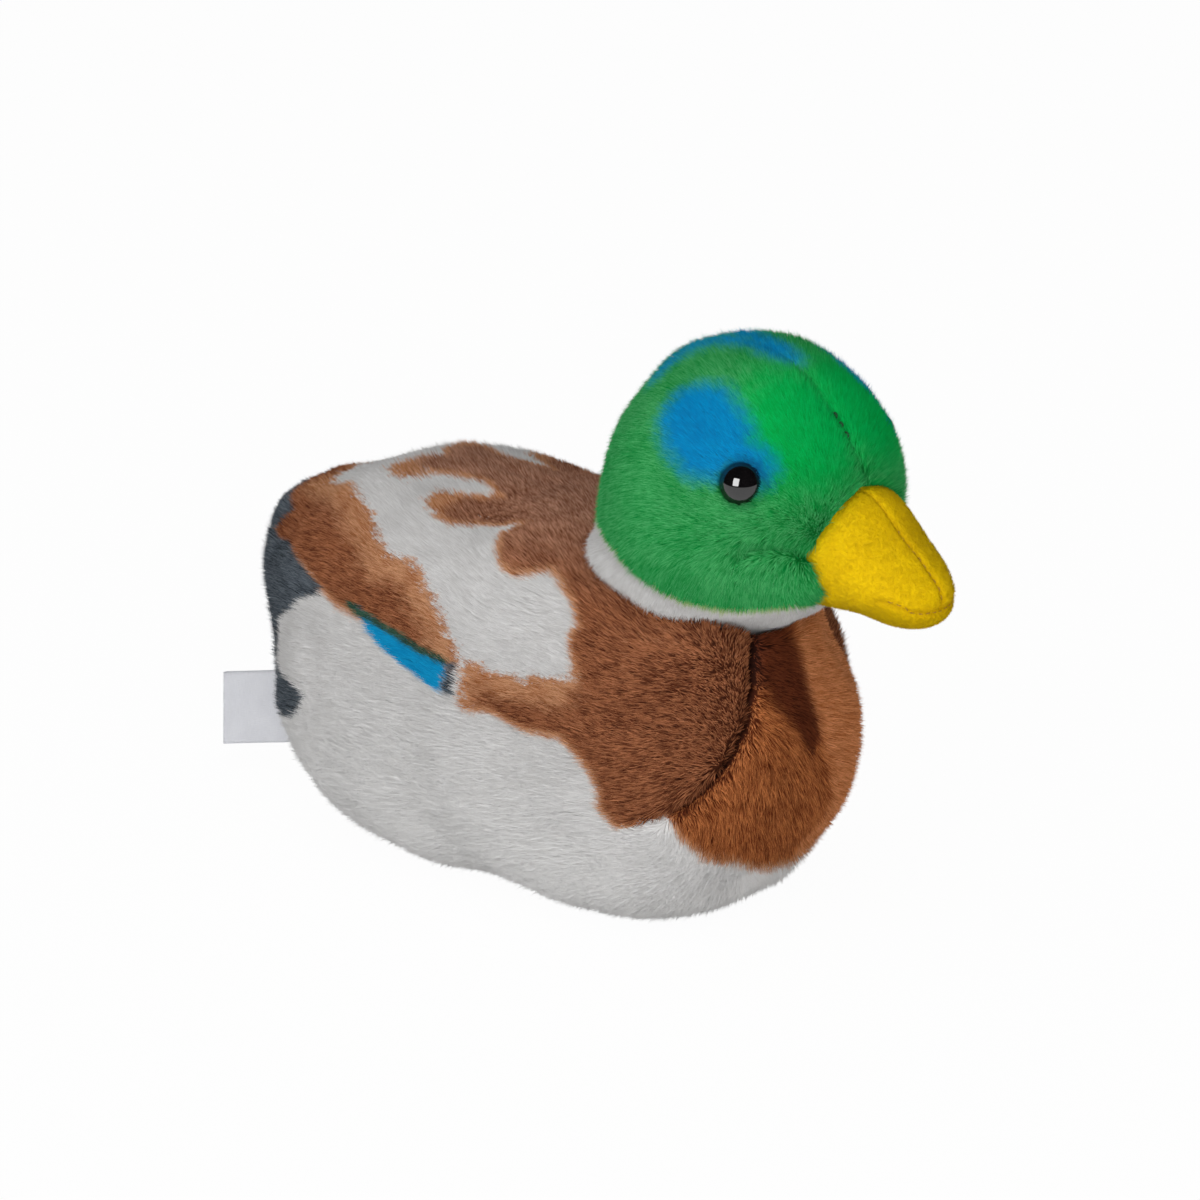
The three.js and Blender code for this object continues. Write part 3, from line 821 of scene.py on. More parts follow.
def grow(name: str, surface: Surface, nap: Nap, comb: Comb, keep: Keep, material: Material,
         body: str) -> None:
    """Grows pile on a surface, as thin spikes that lean the way they are combed.

    Args:
        name: the piece's name.
        surface: the fabric. Its value "trim" is the share of the pile's length that stands there, "calm" is
            how smooth it is brushed, and "stand" is how upright it is held.
        nap: how the pile stands.
        comb: the way it is combed, from points and outward directions.
        keep: which roots bear pile, from their points.
        material: its material.
        body: the frame's body that it rides on.
    """
    rng = np.random.default_rng(SEED + sum(map(ord, name)))
    found = surface.scatter(nap.count, rng)
    kept = keep(found["point"]) & (found["trim"] > nap.bald)
    found = {key: value[kept] for key, value in found.items()}
    root, normal = found.pop("point"), found.pop("normal")
    trim, calm, stand = (found.pop(key) for key in ("trim", "calm", "stand"))
    count = len(root)

    way = comb(root, normal)
    way = unit(way - normal * np.einsum("nk,nk->n", way, normal)[:, None])
    turn = np.radians(rng.normal(0, nap.stray, count) * (1 - nap.calm_stray * calm))[:, None]
    way = way * np.cos(turn) + np.cross(way, normal) * np.sin(turn)
    lift = np.clip(rng.normal(nap.lift, nap.lift_spread, count) - nap.calmed * calm, *nap.lifts)
    lift = np.radians(lift + (nap.upright - lift) * stand)[:, None]
    length = (nap.length * rng.uniform(*nap.lengths, count) * trim)[:, None]
    tip = root + (way * np.cos(lift) + normal * np.sin(lift)) * length
    leaders = rng.choice(count, max(1, count // nap.clump), replace=False)
    leader = leaders[nearest(root + rng.normal(0, nap.leader_reach, root.shape), root[leaders])[1]]
    drawn = (tip[leader] - tip) * nap.pull * rng.uniform(*nap.pulls, (count, 1))
    tip = tip + drawn * (1 - nap.calm_pull * calm[:, None])
    tuft = way * rng.normal(0, nap.tuft, (count, 1))[leader]
    printed = surface.read(root + (tip - root) * 0.5 + tuft, list(found))
    found = {key: printed.get(key, value) for key, value in found.items()}

    ahead = unit(tip - root)
    side = unit(np.cross(ahead, normal) + rng.normal(0, nap.twist, root.shape))
    over = np.cross(side, ahead)
    turns = rng.uniform(0, 2 * math.pi, (count, 1)) + np.array([0, 2, 4]) * math.pi / 3
    rays = side[:, None] * np.cos(turns)[..., None] + over[:, None] * np.sin(turns)[..., None]
    ring = root[:, None] + rays * nap.width / 2
    points = np.concatenate([ring, tip[:, None]], axis=1)
    points[..., 2] = np.maximum(points[..., 2], nap.ground)
    faces = (BLADE_FACES + np.arange(count)[:, None, None] * 4).reshape(-1, 3)
    first = points[:, 0]
    outward = np.einsum("nk,nk->n", np.cross(points[:, 1] - first, tip - first), first - root)
    if np.median(outward) < 0:
        faces = faces[:, ::-1].copy()

    own = rng.uniform(0, 1, count)
    tone = nap.own_tone * own + (1 - nap.own_tone) * own[leader]
    values = {key: np.repeat(value, 4, axis=0) for key, value in found.items()}
    for key, value in surface.read(tip + tuft, list(found)).items():
        values[key][3::4] = value
    values |= {"tone": np.repeat(tone, 4), "reach": np.tile([0, 0, 0, 1.0], count)}
    mesh = new_mesh(name, points.reshape(-1, 3), faces, values)
    soft = (nap.soft + (nap.calm_soft - nap.soft) * calm)[:, None, None]
    shading = np.concatenate([normal[:, None] * soft + rays * (1 - soft), normal[:, None]], axis=1)
    mesh.normals_split_custom_set_from_vertices(unit(shading).reshape(-1, 3).tolist())
    laid_out(mesh, faces, count)
    new_object(name, mesh, material, body)


@dataclass(frozen=True)
class Dye:
    """One colour of the pile: at the root, where it is darker as painted shade deep in the pile, and the
    darkest and lightest of its tips.
    """

    root: Colour
    low: Colour
    high: Colour


WHITE_DYE = Dye(srgb(212, 210, 208), srgb(216, 214, 212), srgb(240, 239, 238))
# Painted light: the white made lighter low down, on the underside that faces the floor
PAINTED_LIGHT_WHITE = Dye(srgb(242, 240, 238), srgb(246, 245, 243), srgb(254, 253, 252))
BROWN_DYE = Dye(srgb(58, 25, 12), srgb(82, 36, 17), srgb(194, 124, 84))
# Painted light: the brown made lighter on the top of the back
PAINTED_LIGHT_BROWN = Dye(srgb(104, 58, 38), srgb(132, 82, 58), srgb(214, 168, 144))
ORANGE_DYE = Dye(srgb(160, 92, 54), srgb(176, 108, 66), srgb(226, 172, 130))
CHARCOAL_DYE = Dye(srgb(24, 27, 31), srgb(36, 42, 48), srgb(116, 125, 134))
BLUE_DYE = Dye(srgb(0, 122, 182), srgb(0, 146, 206), srgb(20, 172, 226))
RIM_DYE = Dye(srgb(20, 40, 34), srgb(34, 62, 50), srgb(70, 110, 90))
RUST_DYE = Dye(srgb(74, 28, 10), srgb(100, 42, 15), srgb(218, 134, 78))
# Painted light: the chest made paler past the pile's parting
PAINTED_LIGHT_RUST = Dye(srgb(134, 72, 34), srgb(168, 96, 50), srgb(236, 158, 106))
# Painted shadow down the chest, under the bill
PAINTED_SHADOW_BROWN = Dye(srgb(38, 13, 6), srgb(60, 23, 10), srgb(120, 60, 34))
GREEN_DYE = Dye(srgb(0, 118, 44), srgb(0, 146, 62), srgb(92, 204, 122))
CALM_GREEN_DYE = Dye(srgb(0, 152, 58), srgb(0, 184, 78), srgb(0, 212, 104))
TEAL_DYE = Dye(srgb(0, 116, 170), srgb(0, 134, 200), srgb(0, 168, 228))
LIME_DYE = Dye(srgb(140, 176, 96), srgb(168, 200, 120), srgb(204, 220, 160))


class PileShader(Shader):
    """A material for printed pile, with the noises that the print is made uneven by."""

    def __init__(self, name: str, tufts: tuple, broad: float, fine: float) -> None:
        """Starts the material, with the tufts' noise by scale, detail and stretch, and two more by scale."""
        super().__init__(name)
        self.at, self.reach, self.tone = self.place(), self.value("reach"), self.value("tone")
        self.tufts = self.noise(self.at, *tufts)
        self.broad, self.fine = self.noise(self.at, broad), self.noise(self.at, fine)

    def dyed(self, dye: Dye) -> Socket:
        """The colour of a blade by how far up it is, darker towards the root as painted shade, and by its own
        tone.
        """
        tip = self.mix(self.tone, dye.low, dye.high)
        return self.mix(self.reach.climb(0.0, 0.6), dye.root, tip)

    def printed(self, under: Value, level: Socket, low: float, high: float, over: "Dye | Socket") -> Socket:
        """A colour over another where a level climbs from low to high."""
        return self.mix(level.climb(low, high), under, self.dyed(over) if isinstance(over, Dye) else over)


@dataclass(frozen=True)
class PlushFinish:
    """The printed pile of the body, with painted light and shade over it, by the distances that its panels
    hold.
    """

    roughness: float = 0.85
    shine: float = 0.08
    # Painted shade in the chest's seam, and how much of it is laid over
    crease: Colour = srgb(30, 13, 8)
    crease_share: float = 0.9
    tuft_noise: tuple = (0.55, 2.0, (0.6, 1.1, 1.2))
    broad_noise: float = 0.09
    fine_noise: float = 1.6
    tone_shares: Span = (0.12, 0.1)
    ragged_shares: Span = (0.45, 0.35)
    # Painted light: the height up to which the white is painted lighter
    snow_top: float = 46.0
    # Painted light: the heights over which the back's brown turns lighter
    tan_rise: Span = (66.0, 86.0)
    fringe: float = 1.5
    chest_fringe: float = 1.6
    soft_reach: float = 8.0
    soft_gain: float = 3.2
    rim_width: float = 0.75

    def made(self, name: str, gusset: bool) -> Material:
        """Makes the material.

        Args:
            name: its name.
            gusset: whether it is for the chest and belly panel.

        Returns:
            The material.
        """
        shader = PileShader(name, self.tuft_noise, self.broad_noise, self.fine_noise)
        tufts, broad, fine, rise = shader.tufts, shader.broad, shader.fine, shader.at.part("Z")
        by_broad, by_tufts = self.tone_shares
        shader.tone = (shader.tone + broad * by_broad + tufts * by_tufts).climb(0.0, 1.0)
        # The white is painted lighter low down: painted light on the underside
        white = shader.printed(shader.dyed(PAINTED_LIGHT_WHITE), rise, 0.0, self.snow_top, WHITE_DYE)
        by_tufts, by_fine = self.ragged_shares
        ragged, depth = tufts * by_tufts + fine * by_fine, shader.value("brown")
        if gusset:
            colour = shader.printed(white, depth + self.chest_fringe + ragged, -0.7, 0.9, ORANGE_DYE)
            # Painted shadow down the chest under the bill, as a darker strip
            chest, strip = shader.dyed(RUST_DYE), shader.value("strip") + fine * 0.08
            chest = shader.printed(chest, strip, 0.0, 1.0, PAINTED_SHADOW_BROWN)
            # Painted light makes the chest paler past the pile's parting
            chest = shader.printed(chest, shader.value("pale") + fine * 0.1, 0.0, 1.0, PAINTED_LIGHT_RUST)
            colour = shader.printed(colour, depth + ragged, -0.8, 0.8, chest)
        else:
            soft = 1 - shader.value("soft").climb(0.0, self.soft_reach)
            ragged = ragged * (soft * self.soft_gain + 1)
            colour = shader.printed(white, depth + self.fringe + ragged, -0.7, 0.9, ORANGE_DYE)
            # The top of the back is painted lighter: painted light where it faces up
            brown = shader.printed(shader.dyed(BROWN_DYE), rise + tufts * 1.5, *self.tan_rise, PAINTED_LIGHT_BROWN)
            faded = soft * 1.1 + tufts * 0.34 + fine * 0.14 + broad * 0.2
            back = shader.printed(brown, faded, 0.1, 1.15, ORANGE_DYE)
            colour = shader.printed(colour, depth + ragged, -0.7, 0.7, back)
            rim = self.rim_width - shader.value("rim")
            for level, by_fine, edge, dye in ((shader.value("charcoal"), 0.3, 0.5, CHARCOAL_DYE),
                                              (shader.value("blue"), 0.25, 0.55, BLUE_DYE),
                                              (rim, 0.35, 0.5, RIM_DYE),
                                              (shader.value("bar"), 0.2, 0.5, CHARCOAL_DYE)):
                colour = shader.printed(colour, level + fine * by_fine, -edge, edge, dye)
        # Painted shade darkens the chest's seam
        colour = shader.mix(shader.value("crease") * self.crease_share, colour, self.crease)
        return shader.finish(colour, self.roughness, specular_ior_level=self.shine)


@dataclass(frozen=True)
class HeadFinish:
    """The printed pile of the head: green with blue patches, over a white collar, with painted shade round
    the eyes and in the darts.
    """

    roughness: float = 0.82
    shine: float = 0.08
    # Painted shade round the eyes and in the darts
    lash: Colour = srgb(6, 44, 40)
    tuft_noise: tuple = (0.5,)
    broad_noise: float = 0.1
    fine_noise: float = 1.6
    fringe: float = 0.9

    def made(self, name: str) -> Material:
        """Makes the material."""
        shader = PileShader(name, self.tuft_noise, self.broad_noise, self.fine_noise)
        tufts, broad, fine = shader.tufts, shader.broad, shader.fine
        shader.tone = (shader.tone + broad * 0.16 + tufts * 0.1).climb(0.0, 1.05)
        frost = shader.value("frost") + tufts * 0.15 + broad * 0.1
        colour = shader.printed(shader.dyed(CALM_GREEN_DYE), frost, 0.0, 1.0, GREEN_DYE)
        colour = shader.printed(colour, shader.value("blue") + tufts * 1.2 + fine * 0.5, -3.0, 3.0, TEAL_DYE)
        # Painted shade round the eyes and in the darts
        colour = shader.mix(shader.value("lash"), colour, self.lash)
        depth = shader.value("white") + fine * 0.25 + tufts * 0.15
        colour = shader.printed(colour, depth + self.fringe, -0.4, 0.4, LIME_DYE)
        colour = shader.printed(colour, depth, -0.3, 0.5, WHITE_DYE)
        return shader.finish(colour, self.roughness, specular_ior_level=self.shine)


@dataclass(frozen=True)
class FeltFinish:
    """Yellow felt with a faint tangle of fibres, and painted shade in the seams' creases."""

    low: Colour = srgb(228, 184, 0)
    high: Colour = srgb(248, 208, 0)
    # Painted shade in the seams' creases, and how much of it is laid over
    crease: Colour = srgb(190, 138, 0)
    crease_share: float = 0.4
    roughness: float = 0.9
    shine: float = 0.12

    def made(self, name: str) -> Material:
        """Makes the material."""
        shader = Shader(name)
        at = shader.place()
        fine, broad = shader.noise(at, 1.4, 4.0), shader.noise(at, 0.18)
        tone = (fine * 0.28 + broad * 0.2 + 0.5).climb(0.0, 1.0)
        colour = shader.mix(tone, self.low, self.high)
        # Painted shade darkens the seams' creases
        colour = shader.mix(shader.value("crease") * self.crease_share, colour, self.crease)
        normal = shader.bump(fine, 0.5, 0.35)
        return shader.finish(colour, self.roughness, specular_ior_level=self.shine, normal=normal)


@dataclass(frozen=True)
class EyeFinish:
    """Polished black plastic with a faint smear."""

    low: Colour = srgb(10, 9, 10)
    high: Colour = srgb(17, 15, 16)
    roughness: float = 0.05
    ior: float = 1.7

    def made(self, name: str) -> Material:
        """Makes the material."""
        shader = Shader(name)
        smear = shader.noise(shader.place(), 0.5, 3.0)
        colour = shader.mix((smear * 0.5 + 0.5).climb(0.0, 1.0), self.low, self.high)
        return shader.finish(colour, smear * 0.012 + self.roughness, ior=self.ior)


@dataclass(frozen=True)
class SatinFinish:
    """Bare white satin ribbon with fine ribs across it."""

    low: Colour = srgb(206, 207, 213)
    high: Colour = srgb(224, 225, 230)
    roughness: float = 0.5
    sheen: float = 0.2

    def made(self, name: str) -> Material:
        """Makes the material."""
        shader = Shader(name)
        at = shader.place("cloth")
        ribs = shader.noise(at, 1.0, 2.0, (7.0, 0.5, 0.5))
        yarn = shader.noise(at, 1.0, 2.0, (0.7, 9.0, 0.5))
        broad = shader.noise(at, 0.14)
        tone = (ribs * 0.2 + yarn * 0.15 + broad * 0.25 + 0.5).climb(0.0, 1.0)
        colour = shader.mix(tone, self.low, self.high)
        normal = shader.bump(ribs + yarn, 0.25, 0.1)
        return shader.finish(colour, self.roughness + ribs * 0.04, sheen_weight=self.sheen, normal=normal)


@dataclass(frozen=True)
class PlainFinish:
    """A finish with an even grain, for what lies inside and for thread."""

    low: Colour
    high: Colour
    grain: float
    roughness: float

    def made(self, name: str) -> Material:
        """Makes the material."""
        shader = Shader(name)
        at = shader.node("ShaderNodeTexCoord", {}, {}, "Object")
        grain = shader.noise(at, self.grain / MM, 4.0)
        colour = shader.mix((grain * 0.5 + 0.5).climb(0.0, 1.0), self.low, self.high)
        return shader.finish(colour, self.roughness, normal=shader.bump(grain, 0.4, 0.3))


class Side(Enum):
    """The duck's two sides, by the sign of Y."""

    LEFT = 1
    RIGHT = -1

    @property
    def word(self) -> str:
        """The side's name as the frame writes it."""
        return self.name.lower()


# The fabric under the pile has the dark colour near the hairs' roots, which is painted shade
SKIN_REACH = 0.1
SKIN_TONE = 0.4


def padded_skin(name: str, node: str, surface: Surface, fabric: float, material: Material,
                body: str) -> None:
    """A panel of fabric with a thickness, which stands for a node of the frame.

    Args:
        name: the piece's name.
        node: the frame's node.
        surface: its outside.
        fabric: how thick the fabric is.
        material: its material.
        body: the frame's body that it rides on.
    """
    count = len(surface.points)
    values = {key: value for key, value in surface.values.items() if key not in ("trim", "calm", "stand")}
    values |= {"reach": np.full(count, SKIN_REACH), "tone": np.full(count, SKIN_TONE)}
    piece = new_object(name, new_mesh(name, surface.points, surface.faces, values), material, body)
    thick = piece.modifiers.new("fabric", "SOLIDIFY")
    thick.thickness = fabric * MM
    thick.offset = -1
    settled(piece)
    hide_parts(node)


def furred(name: str, node: str, surface: Surface, fabric: float, naps: Sequence[Nap], comb: Comb, keep: Keep,
           material: Material, body: str) -> None:
    """Builds a panel of plush: its fabric, and the under and over layer of its pile.

    Args:
        name: the panel's name, which the names of its pieces are made from.
        node: the frame's node.
        surface: its outside.
        fabric: how thick the fabric is.
        naps: how each layer of the pile stands.
        comb: the way the pile is combed, from points and outward directions.
        keep: which roots bear pile, from their points.
        material: its material.
        body: the frame's body that it rides on.
    """
    padded_skin(f"plush_{name}", node, surface, fabric, material, body)
    for layer, nap in zip(("under", "over"), naps):
        grow(f"pile_{name}_{layer}", surface, nap, comb, keep, material, body)


@dataclass
class Body:
    """The stuffed body: two side panels, and the gusset of chest and belly."""

    rings: int = 210
    columns: int = 240
    depth: float = 1.0
    fabric: float = 0.8
    waist: float = 0.47
    back_roundness: float = 2.45
    belly_roundness: float = 2.7
    socket: float = 28.9
    seam_gap: float = 0.15
    naps: tuple[Nap, Nap] = (Nap(66000, length=3.6, width=0.42, clump=14), Nap(66000, width=0.26))

    # Where the chest and the front begin, by place along the duck, and how much further back the chest's seam
    # lies on the far side
    chest_from: Span = (40.0, 52.0)
    front_from: Span = (36.0, 50.0)
    far_shift: float = 5.0
    # The seams' grooves, and the lips beside the chest's seam: their height outside and inside it
    belly_groove: float = 0.1
    chest_groove: float = 2.2
    groove_width: float = 0.65
    lips: Span = (0.3, -0.5)
    lip: Mark = Mark(1.0, 2.6)
    back_groove: Mark = Mark(0.8, 1.3)
    foot_fade: Span = (2.0, 14.0)
    far_fade: Span = (0.0, 10.0)
    # The stuffing's lumps, which fade out towards the foot
    swells: tuple[Wave, Wave] = (Wave(0.5, 34, 3), Wave(0.2, 14, 4))
    # Where the stuffing pushes the fabric, or a seam draws it in
    moves: tuple[Push, ...] = (
        ((-6, 13, 78), 12, (0, 0, -2.1)), ((13, 10, 79), 9, (0, 0, -0.8)),
        ((-65, 11, 62), 9, (-0.8, 0.3, -0.1)), ((-64, 0, 38), 13, (2.0, 0, 0)),
        ((-58, 18, 36), 12, (1.4, -1.2, 0)), ((-40, 20, 10), 11, (0.2, -0.2, 0.2)),
        ((-12, 24, 2), 9, (0, 1.8, -1.0)), ((19, 23, 4), 11, (0, 1.0, -1.5)),
        ((36, 22, 3), 12, (0.3, 1.2, -1.4)), ((45, 6, 3), 12, (0.7, 0.5, -1.1)),
        ((60, 5, 12), 9, (-1.5, 0, 0.9)), ((62, 12, 42), 12, (1.4, 0.7, 0)),
        ((52, 15, 62), 8, (1.0, 0.8, 1.4)), ((-50, 8, 74), 12, (0, 0, -1.4)),
        ((-35, 14, 77), 9, (0, 0, 0.7)), ((23, 17, 76), 8, (-0.3, 0.2, -1.2)),
    )
    uneven: tuple[Push, ...] = (((55, 20, 61), 12, (-2.4, -2.0, -0.8)), ((58, 17, 55), 9, (-0.9, -0.9, 0)))
    # Where the pile is pressed short: middle on the left side, reach, and the share that is lost
    pressed: tuple[tuple[Point, float, float], ...] = (
        ((-4, 13, 78), 13, 0.7), ((12, 12, 78), 10, 0.4), ((-54, 6, 68), 15, 0.4), ((58, 17, 57), 11, 0.65),
        ((58, 8, 12), 10, 0.2),
    )
    # The pile is trimmed in the chest's seam, beside it and along the back's, and short near foot and neck
    seam_trim: Mark = Mark(1.0, 0.6, power=4)
    lip_trim: Mark = Mark(0.3, 2.2)
    back_trim: Mark = Mark(0.3, 1.4)
    foot_trim: float = 0.4
    foot_rise: Span = (1.0, 8.0)
    neck_trim: float = 0.7
    neck_reach: Span = (0.5, 4.0)
    # It stands up against the collar, and the chest's seam is darkened with painted shade
    collar_stand: float = 0.5
    collar_reach: Span = (0.5, 3.0)
    crease: Mark = Mark(1.0, 0.55, power=4)
    crease_from: Span = (46.0, 53.0)
    # It is smooth on the white and beside the chest's seam, and ruffled over this depth into the colours
    ruffled: Span = (-2.0, 1.0)
    ruffle: float = 0.8
    lip_calm: float = 0.7

    # The charcoal across the rear end: half width, heights and place along the duck
    rump_half: float = 15.0
    rump_heights: Span = (22.0, 65.0)
    rump_end: float = -50.0
    # The lower edge of the chest's rust, as place across the duck and height, and where it begins along it
    chest_hem: Table = (
        (-34, 34), (-28, 29.5), (-25, 24), (-21, 19.5), (-14, 17), (-8, 13.5), (0, 11), (8, 10), (14, 11),
        (21, 15), (28, 26), (34, 34),
    )
    chest_end: float = 38.0
    # The painted shadow down the chest, under the bill, as a darker strip: its middle line, its half width by
    # height, and its soft edge as shares of that
    strip: Line = ((56, -8, 66), (57.5, -7.5, 60), (59.5, -6.3, 56), (60.8, -5, 52), (62.2, -3.6, 47.7),
                   (63, -2.2, 43.3), (63.4, -1.1, 39))
    strip_halves: Table = ((38, 3.5), (48, 7), (55, 9), (61, 10))
    strip_edge: Span = (0.3, 1.3)
    # The line where the chest's pile parts, as height and place left of the middle, and the painted light
    # that makes the chest paler past it
    parting: Table = ((24, 6.9), (30, 3.9), (36, 1.9), (42, 0.6), (47, 0), (51, -0.3), (55, -0.2), (61, 1.3))
    pale_edge: Span = (-1.4, 3.4)

    # Ways in which the pile is combed: on the back, down the chest, past its parting and beside its seam
    back_way: Point = (-1.0, 0.0, 0.34)
    chest_way: Point = (-0.1, -0.22, -1.0)
    parted_way: Point = (0.1, 1.5, 0.45)
    seam_way: Point = (0.5, 0.7, 0.2)
    collar_pull: float = 1.2
    # Where each holds: past the parting, near the seam, by place and height, and by how far it faces down
    parted_edge: Span = (-1.5, 2.5)
    seam_reach: Span = (1.0, 5.0)
    down_from: Span = (40.0, 56.0)
    down_rise: Span = (8.0, 26.0)
    under_tilt: Span = (0.6, 0.9)
    back_wave: Wave = Wave(0.25, 26, 11)
    chest_wave: Wave = Wave(0.2, 18, 12)

    def loft(self, depth: float) -> Loft:
        """The body's form, drawn in by a depth."""
        tall = BODY_HEIGHT + FOOT_CUT
        ends = (BODY_SECTION_SHARES[0][0] + BODY_SECTION_SHARES[-1][0]) / 2 * BODY_LENGTH
        rows = []
        for along, top, bottom, half in BODY_SECTION_SHARES:
            inset = depth if half else 0.0
            rows.append((ends + (along * BODY_LENGTH - ends) * (1 - 2 * depth / BODY_LENGTH),
                         top * tall - FOOT_CUT - inset, bottom * tall - FOOT_CUT + inset,
                         half * BODY_WIDTH - inset))
        return Loft(np.array(rows), self.waist, self.back_roundness, self.belly_roundness)

    def seam_level(self, points: Array) -> Array:
        """How far points lie behind and above the gusset's seam, as seen from the side."""
        corners = np.array(GUSSET_SEAM_SHARES) * (BODY_LENGTH, BODY_HEIGHT)
        place = np.linspace(0, len(corners) - 1, 160)
        line = smoothed(np.stack([np.interp(place, np.arange(len(corners)), row) for row in corners.T], 1), 6)
        flat = np.column_stack([points[:, [0, 2]], np.zeros(len(points))])
        distance, number = nearest(flat, np.column_stack([line, np.zeros(len(line))]))
        way = np.gradient(line, axis=0)[number]
        off = flat[:, :2] - line[number]
        return distance * np.sign(off[:, 1] * way[:, 0] * -1 + off[:, 0] * way[:, 1])

    def fields(self, grid: Array) -> dict[str, Array]:
        """The distances that the print, the painted shadow down the chest and the painted light past its
        parting are coloured by, by ring and column.
        """
        drawn, flat, shape = Print(grid), grid.reshape(-1, 3), grid.shape[:2]
        along, aside, height = grid[..., 0], grid[..., 1], grid[..., 2]
        low, high = self.rump_heights
        behind = np.minimum.reduce([self.rump_half - np.abs(aside), height - low, high - height,
                                    self.rump_end - along])
        away = nearest(flat, drawn_out(self.strip))[0].reshape(shape)
        return {
            "brown": np.maximum(drawn.inside(BROWN_BACK), drawn.inside(WING)),
            "soft": drawn.apart(SOFT_EDGES),
            "charcoal": np.maximum(drawn.inside(CHARCOAL_RUMP), behind),
            "blue": drawn.inside(SPECULUM),
            "bar": drawn.inside(SPECULUM_BAR),
            "rim": drawn.apart([SPECULUM_RIM]),
            "chest": np.minimum(height - by_table(aside, self.chest_hem), along - self.chest_end),
            # Painted shadow down the chest, under the bill
            "strip": 1 - smooth_step(away / by_table(height, self.strip_halves), *self.strip_edge),
            # Painted light past the chest's parting
            "pale": smooth_step(self.past_parting(flat), *self.pale_edge).reshape(shape),
        }

    def past_parting(self, points: Array) -> Array:
        """How far points lie to the left of the line where the chest's pile parts."""
        return points[:, 1] - by_table(points[:, 2], self.parting)

    def relief(self, points: Array, level: Array, seam_away: Array) -> Array:
        """How far the stuffing's lumps stand out, less the grooves, by how far the gusset's seam is."""
        chest = smooth_step(points[:, 0], *self.chest_from)
        deep = self.belly_groove + (self.chest_groove - self.belly_groove) * chest
        sink = deep * bell(seam_away, self.groove_width)
        sink += chest * self.lip.at(seam_away) * np.where(level > 0, *self.lips)
        sink += self.back_groove.at(points[:, 1]) * (level > 0)
        swell = sum(wave.at(points) for wave in self.swells)
        return swell * smooth_step(points[:, 2], *self.foot_fade) - sink

    def trim(self, points: Array, moved: Array, level: Array, seam_away: Array) -> Array:
        """The share of the pile's length that is left at points, which were moved from where they were."""
        chest = smooth_step(points[:, 0], *self.chest_from)
        trim = 1 - chest * self.seam_trim.at(seam_away) - chest * self.lip_trim.at(seam_away)
        trim -= self.back_trim.at(points[:, 1]) * (level > 0)
        trim *= 1 - self.foot_trim * (1 - smooth_step(points[:, 2], *self.foot_rise))
        at_neck = 1 - smooth_step(from_head(moved) - self.socket, *self.neck_reach)
        trim *= 1 - self.neck_trim * at_neck * (1 - smooth_step(points[:, 0], *self.front_from))
        for middle, reach, lost in self.pressed:
            trim *= 1 - lost * bell(np.linalg.norm(folded(moved, Side.LEFT) - middle, axis=1), reach)
        return trim

    def outside(self) -> Surface:
        """The body's whole outside, with its print, grooves and gentle lumps."""
        grid = self.loft(self.depth).grid(self.rings, self.columns)
        surface = closed(grid, self.fields(grid))
        points, normals, held = surface.points, surface.normals(), surface.values
        chest = smooth_step(points[:, 0], *self.chest_from)
        level = self.seam_level(points)
        level -= self.far_shift * smooth_step(points[:, 1], *self.far_fade) * chest
        seam_away = nearest(points, surface.crossings(level))[0]
        relief = self.relief(points, level, seam_away)
        moved = shaped(points + normals * relief[:, None], self.moves, self.uneven)
        moved[:, 2] = np.maximum(moved[:, 2], self.depth)
        moved[np.abs(points[:, 1]) < TINY, 1] = 0
        surface.points = moved
        printed = np.maximum.reduce([held[key] for key in ("brown", "charcoal", "blue")])
        calm = 1 - self.ruffle * smooth_step(np.where(level > 0, printed, held["chest"]), *self.ruffled)
        surface.values |= {
            "trim": self.trim(points, moved, level, seam_away),
            "level": level,
            "stand": self.collar_stand * self.at_collar(moved, points),
            "calm": np.maximum(calm, self.lip_calm * chest * self.lip.at(seam_away)),
            # Painted shade in the chest's seam
            "crease": smooth_step(points[:, 0], *self.crease_from) * self.crease.at(seam_away),
        }
        return surface

    def side_comb(self, points: Array, normals: Array) -> Array:
        """The side panels are brushed to the tail and a little upwards, and to the collar in front."""
        return np.array(self.back_way) + self.back_wave.at(points)[:, None] * UP + self.to_collar(points)

    def at_collar(self, points: Array, along: Array) -> Array:
        """How far points lie beside the collar's front, with their places along the duck from others."""
        beside = 1 - smooth_step(from_head(points) - self.socket, *self.collar_reach)
        return beside * smooth_step(along[:, 0], *self.front_from)

    def to_collar(self, points: Array) -> Array:
        """The way from points beside the collar's front to the head, and nothing from others."""
        return unit(HEAD_CENTRE - points) * self.at_collar(points, points)[:, None] * self.collar_pull

    def gusset_comb(self, points: Array, normals: Array) -> Array:
        """The gusset is brushed down the chest from a parting left of its middle, and back below."""
        parting = smooth_step(self.past_parting(points), *self.parted_edge)[:, None]
        beside = 1 - smooth_step(-self.seam_level(points), *self.seam_reach)[:, None]
        down = np.array(self.chest_way) + parting * np.array(self.parted_way)
        down = down + beside * (1 - parting) * np.array(self.seam_way)
        chest = smooth_step(points[:, 0], *self.down_from) * smooth_step(points[:, 2], *self.down_rise)
        chest, under = chest[:, None], smooth_step(-normals[:, 2], *self.under_tilt)[:, None]
        back = self.side_comb(points, normals) * (1 - under) - AHEAD * under
        wave = self.chest_wave.at(points)[:, None]
        return down * chest + back * (1 - chest) + wave * LEFTWARD + self.to_collar(points)

    def bare(self, points: Array) -> Array:
        """Which points lie outside the socket that the head sits in."""
        return from_head(points) > self.socket

